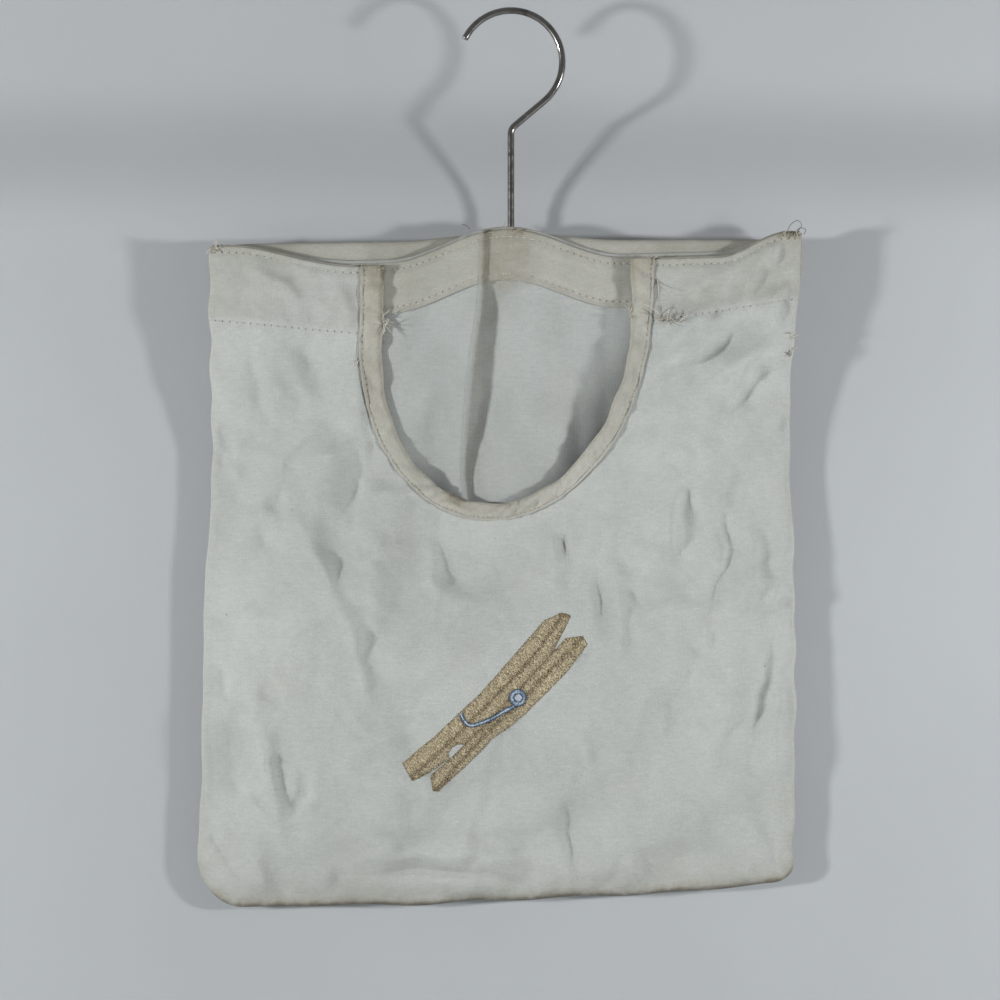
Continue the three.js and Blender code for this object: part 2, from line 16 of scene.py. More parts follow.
import bpy
import numpy as np
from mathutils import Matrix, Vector


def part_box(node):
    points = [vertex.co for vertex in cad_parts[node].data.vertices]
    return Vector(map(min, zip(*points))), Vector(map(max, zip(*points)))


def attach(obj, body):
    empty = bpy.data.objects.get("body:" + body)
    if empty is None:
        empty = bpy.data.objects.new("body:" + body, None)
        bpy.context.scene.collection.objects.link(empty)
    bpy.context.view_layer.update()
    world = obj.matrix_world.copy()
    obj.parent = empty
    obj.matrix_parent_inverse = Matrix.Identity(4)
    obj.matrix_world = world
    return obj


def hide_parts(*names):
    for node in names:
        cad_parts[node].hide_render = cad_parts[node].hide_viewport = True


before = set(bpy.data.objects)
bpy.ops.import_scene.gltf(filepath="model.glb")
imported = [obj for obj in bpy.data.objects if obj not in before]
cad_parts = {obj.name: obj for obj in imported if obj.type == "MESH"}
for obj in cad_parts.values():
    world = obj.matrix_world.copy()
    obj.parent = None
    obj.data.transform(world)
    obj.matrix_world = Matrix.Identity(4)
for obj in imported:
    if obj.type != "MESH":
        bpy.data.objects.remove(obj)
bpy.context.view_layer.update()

MM = 0.001
Array = np.ndarray
Points = Sequence[Sequence[float]]
Piece = bpy.types.Object
Socket = bpy.types.NodeSocket
log = logging.getLogger("peg_bag")


class Body(str, Enum):
    """The two parts of the frame that turn against each other."""

    BAG = "bag"
    HOOK = "hook"


class Slot(str, Enum):
    """Material slots of the record."""

    STEEL = "polished_steel"
    ZINC = "zinc_steel"
    BEECH = "beech"
    DRILL = "cotton_drill"
    TAPE = "cream_tape"
    THREAD = "cotton_thread"
    TAN = "tan_thread"
    BLUE = "blue_thread"


def ease(t: Array) -> Array:
    """Smooth step from 0 to 1."""
    t = np.clip(t, 0.0, 1.0)
    return t * t * (3.0 - 2.0 * t)


def hump(t: Array) -> Array:
    """Raised cosine, 1 at 0 and 0 from 1 outwards."""
    return 0.5 + 0.5 * np.cos(np.pi * np.clip(t, -1.0, 1.0))


def smooth_path(points: Points, count: int) -> Array:
    """Curve through the points, sampled at even steps of length.

    Args:
        points: Points that the curve passes through.
        count: Number of samples.

    Returns:
        The samples, one row each.
    """
    p = np.asarray(points, float)
    far = np.vstack([2 * p[0] - p[1], p, 2 * p[-1] - p[-2]])
    t = np.linspace(0, 1, 16, endpoint=False)[:, None]
    runs = []
    for a, b, c, d in zip(far, far[1:], far[2:], far[3:]):
        runs.append(b + 0.5 * t * (c - a + t * (2 * a - 5 * b + 4 * c - d + t * (3 * (b - c) + d - a))))
    return even_steps(np.vstack(runs + [p[-1:]]), count)


def even_steps(points: Points, count: int) -> Array:
    """Straight runs from point to point, sampled at even steps of length."""
    path = np.asarray(points, float)
    run = arc_length(path)
    at = np.linspace(0, run[-1], count)
    return np.column_stack([np.interp(at, run, column) for column in path.T])


def arc_length(path: Array) -> Array:
    """Length run from the first point of a path to each of its points."""
    return np.concatenate([[0.0], np.cumsum(np.linalg.norm(np.diff(path, axis=0), axis=1))])


def nearest_on(path: Array, x: Array, z: Array) -> tuple[Array, Array]:
    """Where points lie against a path.

    Args:
        path: Rows of (x, z).
        x: Across places of the points.
        z: Heights of the points.

    Returns:
        The signed distance, positive on the right where the path runs down, and the share of its length.
    """
    run = arc_length(path)
    best = np.full(x.shape, 1e9)
    side = np.ones(x.shape)
    share = np.zeros(x.shape)
    for (ax, az), (bx, bz), start, end in zip(path, path[1:], run, run[1:]):
        dx, dz = bx - ax, bz - az
        t = np.clip(((x - ax) * dx + (z - az) * dz) / (dx * dx + dz * dz), 0, 1)
        ox, oz = x - ax - t * dx, z - az - t * dz
        d = np.hypot(ox, oz)
        closer = d < best
        best = np.where(closer, d, best)
        side = np.where(closer, np.where(dz * ox - dx * oz >= 0, -1.0, 1.0), side)
        share = np.where(closer, (start + t * (end - start)) / run[-1], share)
    return best * side, share


@dataclass(frozen=True)
class Ripple:
    """A smooth seeded undulation, the sum of plane waves.

    Attributes:
        seed: Seed of the waves.
        wavelength: Typical length of a wave, mm.
        height: Typical height, mm.
        lengthwise: How far the waves are drawn out along Z.
    """

    seed: int
    wavelength: float
    height: float
    lengthwise: float = 1.0

    def at(self, x: Array, z: Array) -> Array:
        """Height at each point, mm."""
        rng = np.random.default_rng(self.seed)
        total = np.zeros(np.shape(x))
        count = 14
        for turn, stretch, phase in rng.uniform((0, 0.65, 0), (2 * np.pi, 1.45, 2 * np.pi), (count, 3)):
            k = 2 * np.pi / (self.wavelength * stretch)
            total += np.cos(k * (x * math.cos(turn) + z / self.lengthwise * math.sin(turn)) + phase)
        return self.height * total / math.sqrt(count / 2)


@dataclass(frozen=True)
class Facets:
    """Flat patches of seeded heights that meet in soft creases, as washed and folded cloth keeps them.

    Attributes:
        seed: Seed of the heights.
        wide: Size of a patch across, mm.
        tall: Size of a patch along, mm.
        turn: Lean of the patches, radians.
        height: Typical height, mm.
    """

    seed: int
    wide: float
    tall: float
    turn: float
    height: float

    def at(self, x: Array, z: Array) -> Array:
        """Height at each point, mm."""
        size = 48
        table = np.random.default_rng(self.seed).normal(0, self.height, (size, size))
        wx = x + Ripple(self.seed + 1, 2.4 * self.tall, 0.25 * self.wide).at(x, z)
        wz = z + Ripple(self.seed + 2, 2.4 * self.wide, 0.20 * self.tall).at(x, z)
        c, s = math.cos(self.turn), math.sin(self.turn)
        a, b = (wx * c + wz * s) / self.wide, (wz * c - wx * s) / self.tall
        i, j = np.floor(a).astype(int), np.floor(b).astype(int)
        a, b = a - i, b - j
        p, q, r, t = (table[(i + m) % size, (j + n) % size] for m, n in ((0, 0), (1, 0), (0, 1), (1, 1)))
        return np.where(a + b < 1, p + (q - p) * a + (r - p) * b, t + (r - t) * (1 - a) + (q - t) * (1 - b))


@dataclass(frozen=True)
class Fold:
    """A crease along a path in the hanging cloth, gentle on one side and steep on the other.

    Attributes:
        path: Points (x, z) that it passes through, mm.
        height: Height of its crest towards the viewer, mm; below 0 for a valley, which is steep on its left.
        left: How far it reaches to the left where it runs down, or below it where it runs right, mm.
        right: How far it reaches to the other side, mm.
        least_steep: Least reach of the steep side, mm.
    """

    path: Points
    height: float
    left: float
    right: float
    least_steep: float = 7.5

    def at(self, x: Array, z: Array) -> Array:
        """Height at each point, mm."""
        path, reach = smooth_path(self.path, 12), 4 * max(self.left, self.right)
        low, high = path.min(axis=0) - reach, path.max(axis=0) + reach
        near = (x > low[0]) & (x < high[0]) & (z > low[1]) & (z < high[1])
        total = np.zeros(np.shape(x))
        total[near] = self.profile(*nearest_on(path, x[near], z[near]))
        return total

    def profile(self, d: Array, share: Array) -> Array:
        """Height at a distance from the path and a share of its length, mm."""
        gentle, steep = (self.left, self.right) if self.height > 0 else (self.right, self.left)
        steep = max(steep, self.least_steep)
        d = d * np.sign(self.height)
        rise = np.exp(-((np.maximum(-d, 0) / gentle) ** 1.2))
        fall = np.exp(-((np.maximum(d, 0) / (0.42 * steep)) ** 1.7))
        hollow = 0.4 * hump((d - steep) / steep)
        return self.height * (rise * fall - hollow) * np.sin(np.pi * np.clip(share, 0, 1)) ** 0.8


@dataclass(frozen=True)
class BagForm:
    """Sizes of the bag on its level frame, mm, and the surfaces that its cloth follows.

    Attributes:
        half_width: Half the width at the top corners.
        flare: How far each side leans out from top to bottom.
        corner_z: Height of the top corners.
        bottom_z: Height of the bottom edge.
        back_top_y: Depth of the back on the bar.
        back_low_y: Depth of the back below the bar.
        mouth_half: Half the width of the mouth inside its folded edge.
        mouth_curve_z: Height at which the mouth's sides begin to curve.
        mouth_round: Depth of that curve.
        bar_low: Lowest corner of the hanger bar.
        bar_high: Highest corner of the hanger bar.
        cloth: Thickness of the drill.
        layer: Distance from one layer of cloth to the next.
        stack: Distance from back to front where they lie together.
        tape: Width of the folded tape.
        belly: How far the full front stands off the back.
        belly_height: Height of the fullest place over the bottom.
        belly_round: Roundness of the belly below that place.
        side_round: Roundness of the belly across.
        mouth_slack: How far the front stands off at its top.
        fall_length: Height over which the back falls away below the bar.
        front_sag: Drop of the front's top edge beside the mouth.
        sag_start: Place across where the top edges begin to drop.
        left_fall: Distance over which they drop on the left.
        right_fall: The same on the right.
        front_facing: Height of the front's facings.
        back_crown: Rise of the back's top edge below the hook.
        back_dip: Drop of that edge on both sides.
        back_facing: Height of the back's facing.
        front_edge_line: Distance of the upper sewn line from the front's top edge.
        back_edge_line: The same on the back.
        back_hem_line: Distance of the lower sewn line from the lower edge of the back's facing.
        crown_spread: Half the width of the rise below the hook.
        left_round: Radius of the bottom's left corner.
        right_round: Radius of the bottom's right corner.
    """

    half_width: float
    flare: float
    corner_z: float
    bottom_z: float
    back_top_y: float
    back_low_y: float
    mouth_half: float
    mouth_curve_z: float
    mouth_round: float
    bar_low: Array
    bar_high: Array
    cloth: float = 0.7
    layer: float = 1.1
    stack: float = 3.3
    tape: float = 12.7
    belly: float = 26.0
    belly_height: float = 118.0
    belly_round: float = 2.2
    side_round: float = 2.4
    mouth_slack: float = 9.0
    fall_length: float = 100.0
    front_sag: float = 12.0
    sag_start: float = 143.0
    left_fall: float = 66.0
    right_fall: float = 34.0
    front_facing: float = 35.0
    back_crown: float = 7.0
    back_dip: float = 8.5
    back_facing: float = 25.6
    front_edge_line: float = 3.0
    back_edge_line: float = 5.0
    back_hem_line: float = 1.5
    crown_spread: float = 60.0
    left_round: float = 24.0
    right_round: float = 11.0

    @classmethod
    def from_frame(cls) -> "BagForm":
        """Reads the bag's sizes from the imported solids."""

        def box(node: str) -> tuple[Array, Array]:
            """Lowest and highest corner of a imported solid, mm."""
            low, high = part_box(node)
            return np.array(low) / MM, np.array(high) / MM

        sleeve, back, seam = box("hanger_sleeve"), box("back_panel"), box("seam_allowance")
        binding, bar = box("mouth_binding"), box("hanger_bar")
        corner_z = box("front_panel")[1][2]
        mouth_curve_z = corner_z - 43.0
        return cls(
            half_width=sleeve[1][0],
            flare=back[1][0] - sleeve[1][0],
            corner_z=corner_z,
            bottom_z=back[0][2],
            back_top_y=sleeve[0][1] - cls.cloth,
            back_low_y=seam[1][1] + cls.cloth,
            mouth_half=binding[1][0] - cls.tape,
            mouth_curve_z=mouth_curve_z,
            mouth_round=mouth_curve_z - cls.tape - binding[0][2],
            bar_low=bar[0],
            bar_high=bar[1],
        )

    @property
    def height(self) -> float:
        """Height from the bottom edge to the top corners."""
        return self.corner_z - self.bottom_z

    @property
    def mouth_outer(self) -> float:
        """Half the width over the binding."""
        return self.mouth_half + self.tape

    def half_at(self, z: Array) -> Array:
        """Half the width at a height."""
        return self.half_width + self.flare * (self.corner_z - z) / self.height

    def sag(self, x: Array) -> Array:
        """Share by which the top edges have dropped, 0 at the corners."""
        return ease((self.sag_start - np.abs(x)) / np.where(x < 0, self.left_fall, self.right_fall))

    def front_top(self, x: Array) -> Array:
        """Top edge of the front, which sags towards the mouth."""
        return self.corner_z - self.front_sag * self.sag(x)

    def hem_z(self, x: Array) -> Array:
        """Height of the straight lines along which the front's hem is sewn."""
        return self.corner_z + np.interp(x, (-148, -78, 77, 148), (-37.2, -45.4, -43.7, -33.8))

    def back_top(self, x: Array) -> Array:
        """Top edge of the back, which is caught up below the hook."""
        crown = (self.back_crown + self.back_dip) * hump(x / self.crown_spread)
        return self.corner_z - self.back_dip * self.sag(x) + crown

    def bar_top(self, x: Array) -> Array:
        """Top of the hanger bar, which rises to the hook."""
        ends = self.bar_high[2] - 4.0
        return ends - 2.3 * np.abs(x) / self.half_width + 4.0 * hump(x / self.crown_spread)

    def back_y(self, z: Array) -> Array:
        """Depth of the back cloth, which falls away below the bar."""
        fall = ease((self.bar_low[2] - 1.8 - z) / self.fall_length)
        return self.back_top_y + (self.back_low_y - self.back_top_y) * fall

    def fullness(self, z: Array) -> Array:
        """How far the front stands off the back at the middle."""
        h = np.clip(z - self.bottom_z, 0, self.height)
        low = self.belly * (1 - np.clip(1 - h / self.belly_height, 0, 1) ** self.belly_round)
        up = (1 - np.cos(np.pi * (h - self.belly_height) / (self.height - self.belly_height))) / 2
        return np.where(h < self.belly_height, low, self.belly + (self.mouth_slack - self.belly) * up)

    def front_y(self, x: Array, z: Array) -> Array:
        """Depth of the front cloth before it creases."""
        across = np.clip(np.abs(x) / self.half_at(z), 0, 1) ** self.side_round
        return self.back_y(z) - self.stack - self.fullness(z) * (1 - across)

    def inset(self, x: Array, z: Array) -> Array:
        """Distance inwards from the sewn outline, which has two round bottom corners."""
        r = np.where(x < 0, self.left_round, self.right_round)
        qx = np.abs(x) - (self.half_at(z) - r)
        qz = (self.bottom_z - z) + r
        return r - np.hypot(np.maximum(qx, 0), np.maximum(qz, 0)) - np.minimum(np.maximum(qx, qz), 0)

    @staticmethod
    def roll(inset: Array) -> Array:
        """How far the cloth has turned in towards its seam, 1 at the seam."""
        return 1 - np.sqrt(np.clip(1 - np.clip(1 - inset / 3.4, 0, 1) ** 2, 0, 1))

    def spot(self, u: Array, v: Array, top: Callable[[Array], Array]) -> tuple[Array, Array]:
        """Level place on a sheet that is cut to the sewn outline.

        Args:
            u: Share of the way across.
            v: Share of the way up.
            top: Height of the sheet's top edge at places across.

        Returns:
            Its across place and height, mm.
        """
        half = self.half_at(self.bottom_z + v * self.height)
        x = (2 * u - 1) * half
        r = np.where(x < 0, self.left_round, self.right_round)
        cut = np.clip((np.abs(x) - half + r) / r, 0, 1)
        low = self.bottom_z + r * (1 - np.sqrt(1 - cut**2 * 0.999))
        return x, low + v * (top(x) - low)

    def mouth_grow(self, x: Array, z: Array) -> Array:
        """Distance outwards from the mouth's folded edge, about."""
        down = np.maximum(self.mouth_curve_z - z, 0)
        slope = self.mouth_half / self.mouth_round
        return np.hypot(x, down * slope) - self.mouth_half

    def mouth_point(self, share: Array, grow: Array) -> tuple[Array, Array]:
        """A point along the mouth at a distance outwards from its folded edge.

        Args:
            share: Place along the mouth, 0 at the left end and 1 at the right end.
            grow: Distance outwards, mm.

        Returns:
            Its across place and height.
        """
        a, b = self.mouth_half + grow, self.mouth_round + grow
        straight = self.front_top(np.asarray(self.mouth_outer)) + 0.6 - self.mouth_curve_z
        bend = np.pi * math.sqrt((self.mouth_half**2 + self.mouth_round**2) / 2)
        run = share * (2 * straight + bend)
        turn = np.clip((run - straight) / bend, 0, 1) * np.pi
        up = np.maximum(straight - run, 0) + np.maximum(run - straight - bend, 0)
        return -a * np.cos(turn), self.mouth_curve_z + up - b * np.sin(turn)


@dataclass(frozen=True)
class Hang:
    """How the slack cloth settles on its level frame: it tilts a little and leans to the left.

    Attributes:
        form: The bag's sizes.
        tilt: Rise for each millimetre to the right.
        heights: Heights at which the lean is given, mm.
        shifts: The lean at those heights, mm.
        pinch: Share by which the sides draw in beside the mouth.
        mouth_lean: Further lean of the mouth, mm.
    """

    form: BagForm
    tilt: float = 0.0245
    heights: tuple[float, ...] = (-470.0, -427.0, -330.0, -260.0, -200.0, -150.0, -117.0)
    shifts: tuple[float, ...] = (-8.0, -7.6, -6.0, -5.6, -5.3, -3.4, -2.7)
    pinch: float = 0.020
    mouth_lean: float = -3.6

    def moves(self, x: Array, z: Array) -> tuple[Array, Array]:
        """How far each level point moves across and up."""
        low = ease((self.form.bottom_z + 75 - z) / 65)
        dx = np.interp(z, self.heights, self.shifts) - self.pinch * x * hump((z + 215) / 100)
        dx = dx + self.mouth_lean * hump(x / 115) * hump((z + 245) / 95)
        dx = dx + 2.6 * hump((x + 70) / 34) * ease((z + 205) / 70)
        dz = self.tilt * x + low * (3.4 * ease((x - 70) / 85) - 2.4 * hump((x + 60) / 190))
        side = ease((np.abs(x) - self.form.half_width + 14) / 12)
        dx = dx + side * Ripple(81, 34, 0.4).at(z, np.sign(x) * 90)
        dz = dz + ease((self.form.bottom_z + 15 - z) / 12) * Ripple(83, 40, 0.4).at(x, 0.0)
        return dx, dz

    def settled(self, x: Array, z: Array) -> tuple[Array, Array]:
        """Where a level point hangs."""
        dx, dz = self.moves(x, z)
        return x + dx, z + dz

    def level(self, x: Array, z: Array) -> tuple[Array, Array]:
        """The level point that hangs here."""
        lx, lz = x, z
        for _ in range(3):
            dx, dz = self.moves(lx, lz)
            lx, lz = x - dx, z - dz
        return lx, lz


@dataclass(frozen=True)
class Seam:
    """A sewn line that pulls the cloth into a groove with puckers beside it.

    Attributes:
        groove: Depth of the groove, mm.
        puff: Height of the roll on each side, mm.
        pucker: Height of the puckers, mm.
        pitch: Length of a pucker, mm.
        reach: How far the puckers run out, mm.
        seed: Seed of the puckers' spacing.
    """

    groove: float
    puff: float
    pucker: float
    pitch: float
    reach: float
    seed: int

    def at(self, d: Array, run: Array) -> Array:
        """Height at a distance from the line and a place along it, mm."""
        wander = Ripple(self.seed, self.pitch * 4.0, 1.6).at(run, np.zeros_like(run))
        swell = 0.55 + 0.45 * Ripple(self.seed + 1, self.pitch * 6.0, 0.7).at(run, np.zeros_like(run))
        wave = np.sin(2 * np.pi * run / self.pitch + wander + d * 0.06)
        rolls = self.puff * np.exp(-(((np.abs(d) - 3.2) / 2.6) ** 2))
        groove = self.groove * np.exp(-((d / 1.1) ** 2))
        fade = np.exp(-np.abs(d) / self.reach) * (1 - 0.7 * np.exp(-((d / 1.5) ** 2)))
        return rolls - groove + self.pucker * swell * wave * fade


def spline_at(field: Array, u: Array, v: Array) -> Array:
    """Smooth value of a grid of numbers.

    Args:
        field: The numbers, a row for each step up and a column for each step across.
        u: Shares of the way across.
        v: Shares of the way up.

    Returns:
        The value at each place.
    """

    def weights(t: Array) -> tuple[Array, ...]:
        """Weights of the four numbers round a place."""
        second, third = (3 * t**3 - 6 * t**2 + 4) / 6, (1 + 3 * t + 3 * t**2 - 3 * t**3) / 6
        return (1 - t) ** 3 / 6, second, third, t**3 / 6

    rows, columns = field.shape
    a, b = np.clip(u, 0, 1) * (columns - 1), np.clip(v, 0, 1) * (rows - 1)
    i, j = np.floor(a).astype(int), np.floor(b).astype(int)
    total = np.zeros(np.shape(a))
    for m, share_up in enumerate(weights(b - j)):
        row = np.clip(j + m - 1, 0, rows - 1)
        for n, share_across in enumerate(weights(a - i)):
            total += share_up * share_across * field[row, np.clip(i + n - 1, 0, columns - 1)]
    return total


@dataclass
class Slack:
    """Slack in a sewn sheet, found by letting it settle as simulated cloth held along its seams.

    Attributes:
        form: The bag's sizes.
        hang: How the seams move from level as the sheet settles.
        depth: Depth of the sheet at level points before it settles, mm.
        top: Height of its top edge at level places across, mm.
        held: How firmly each level point is held, 0 to 1.
        cut: Level points that are cut out of the sheet.
        ease_in: Share by which the cloth is larger than its place.
        seed: Seed of the first unevenness.
        columns: Steps across.
        rows: Steps up.
        life: The simulation's size against life.
        frames: Steps of time.
    """

    form: BagForm
    hang: Hang
    depth: Callable[[Array, Array], Array]
    top: Callable[[Array], Array]
    held: Callable[[Array, Array], Array]
    cut: Callable[[Array, Array], Array]
    ease_in: float
    seed: int
    columns: int = 77
    rows: int = 87
    life: float = 10.0
    frames: int = 40

    def __post_init__(self) -> None:
        """Settles the sheet once."""
        self.field = self.settle()

    def settle(self) -> Array:
        """Runs the simulation.

        Returns:
            How far each grid point has come towards the viewer, mm.
        """
        form, scale = self.form, self.life * MM
        sheet = add_grid(self.columns, self.rows)
        mesh = sheet.data
        start = np.array([v.co for v in mesh.vertices])
        x = 2 * start[:, 0] * form.half_at(form.bottom_z + (start[:, 1] + 0.5) * form.height)
        z = form.bottom_z + (start[:, 1] + 0.5) * (self.top(x) - form.bottom_z)
        grid = np.rint((start[:, 1] + 0.5) * (self.rows - 1)) * self.columns + np.rint(
            (start[:, 0] + 0.5) * (self.columns - 1))
        first = self.depth(x, z)
        uneven = Ripple(self.seed, 40, 0.6, 1.4).at(x, z) * ease((form.inset(x, z) - 3) / 25)
        mesh.vertices.foreach_set("co", (np.stack([x, first + uneven, z], axis=-1) * scale).ravel())
        keep(mesh, "grid_place", grid)
        corners = np.empty(len(mesh.loops), int)
        mesh.loops.foreach_get("vertex_index", corners)
        cut_faces(sheet, self.cut(x, z)[corners].reshape(-1, 4).any(axis=1))
        left = np.empty(len(mesh.vertices), np.float32)
        mesh.attributes["grid_place"].data.foreach_get("value", left)
        place = np.rint(left).astype(int)
        order = np.argsort(grid)
        x, z, first = x[order][place], z[order][place], first[order]
        pins = sheet.vertex_groups.new(name="held")
        for index, weight in enumerate(self.held(x, z)):
            if weight > 0:
                pins.add([index], float(weight), "REPLACE")
        hx, hz = self.hang.settled(x, z)
        sheet.shape_key_add(name="level")
        hung = sheet.shape_key_add(name="hung")
        halfway = np.stack([(x + hx) / 2, first[place], (z + hz) / 2], axis=-1)
        hung.data.foreach_set("co", (halfway * scale).ravel())
        for frame_number, share in ((1, 0.0), (self.frames // 2, 1.0)):
            hung.value = share
            hung.keyframe_insert("value", frame=frame_number)
        cloth = sheet.modifiers.new("cloth", "CLOTH")
        rules = cloth.settings
        rules.quality = 6
        rules.tension_stiffness, rules.compression_stiffness, rules.shear_stiffness = 30, 15, 8
        rules.bending_stiffness = 18
        rules.air_damping = 2.0
        rules.vertex_group_mass = "held"
        rules.pin_stiffness = 5.0
        rules.shrink_min = rules.shrink_max = -self.ease_in
        rules.effector_weights.gravity = 0.04
        cloth.collision_settings.use_collision = False
        cloth.collision_settings.use_self_collision = False
        cloth.point_cache.frame_end = self.frames
        for step in range(1, self.frames + 1):
            bpy.context.scene.frame_set(step)
        settled = sheet.evaluated_get(bpy.context.evaluated_depsgraph_get()).data
        y = np.array([v.co.y for v in settled.vertices]) / scale
        field = np.full(self.rows * self.columns, np.nan)
        field[place] = first[place] - y
        action = mesh.shape_keys.animation_data.action
        bpy.data.objects.remove(sheet)
        bpy.data.actions.remove(action)
        bpy.context.scene.frame_set(1)
        return self.smoothed(field.reshape(self.rows, self.columns))

    @staticmethod
    def smoothed(field: Array) -> Array:
        """Fills what was cut out, calms the grid's own noise and flattens broad swells."""
        hole = np.isnan(field)
        field = np.where(hole, 0.0, field)

        def blurred(values: Array) -> Array:
            """Each number averaged with its neighbours."""
            wide = np.pad(values, 1, mode="edge")
            tall = wide[:-2] + 2 * wide[1:-1] + wide[2:]
            return (tall[:, :-2] + 2 * tall[:, 1:-1] + tall[:, 2:]) / 16

        for _ in range(150):
            field = np.where(hole, blurred(field), field)
        for _ in range(3):
            field = blurred(field)
        broad = field
        for _ in range(90):
            broad = blurred(broad)
        return field - 0.7 * broad

    def at(self, x: Array, z: Array) -> Array:
        """How far level points have come towards the viewer, mm."""
        top = self.top(x)
        return spline_at(self.field, 0.5 + 0.5 * x / self.form.half_at(z),
                         (z - self.form.bottom_z) / (top - self.form.bottom_z))


class Cloth:
    """A sheet seen from the front: a depth for every point of the hanging bag."""

    def __init__(self, form: BagForm, hang: Hang) -> None:
        """Keeps the form and its hang."""
        self.form = form
        self.hang = hang

    def depth(self, x: Array, z: Array) -> Array:
        """Depth y at hanging points, mm."""
        raise NotImplementedError

    def points(self, x: Array, z: Array, lift: Array = 0.0) -> Array:
        """Points on the sheet, lifted towards the viewer along its normal, as rows of x, y, z."""
        x, z = np.asarray(x, float), np.asarray(z, float)
        flat = np.stack([x, self.depth(x, z), z], axis=-1)
        if np.all(np.asarray(lift) == 0.0):
            return flat
        return flat + np.asarray(lift)[..., None] * self.normals(x, z)

    def normals(self, x: Array, z: Array, step: float = 0.5) -> Array:
        """Unit normals that face the viewer."""
        slope_x = (self.depth(x + step, z) - self.depth(x - step, z)) / (2 * step)
        slope_z = (self.depth(x, z + step) - self.depth(x, z - step)) / (2 * step)
        n = np.stack([slope_x, -np.ones_like(slope_x), slope_z], axis=-1)
        return n / np.linalg.norm(n, axis=-1, keepdims=True)


def press_creases(seed: int, count: int, low: Sequence[float], high: Sequence[float]) -> tuple[Fold, ...]:
    """Short sharp creases left by washing and folding, scattered over a rectangle.

    Args:
        seed: Seed of their places.
        count: Number of creases.
        low: Lower left corner, mm.
        high: Upper right corner, mm.

    Returns:
        The creases.
    """
    rng = np.random.default_rng(seed)
    folds = []
    for _ in range(count):
        x, z = rng.uniform(low, high)
        turn = rng.choice([1.57, 0.75, 2.4, 0.1], p=[0.4, 0.25, 0.25, 0.1]) + rng.normal(0, 0.3)
        half = rng.uniform(7, 24)
        dx, dz = half * math.cos(turn), half * math.sin(turn)
        bow = rng.normal(0, 3.0)
        path = ((x - dx, z - dz), (x - bow * math.sin(turn), z + bow * math.cos(turn)), (x + dx, z + dz))
        wide = rng.uniform(2.5, 6.5)
        height = rng.choice([-1, 1]) * rng.uniform(0.5, 1.5)
        folds.append(Fold(path, height, wide, wide * rng.uniform(0.7, 1.8)))
    return tuple(folds)


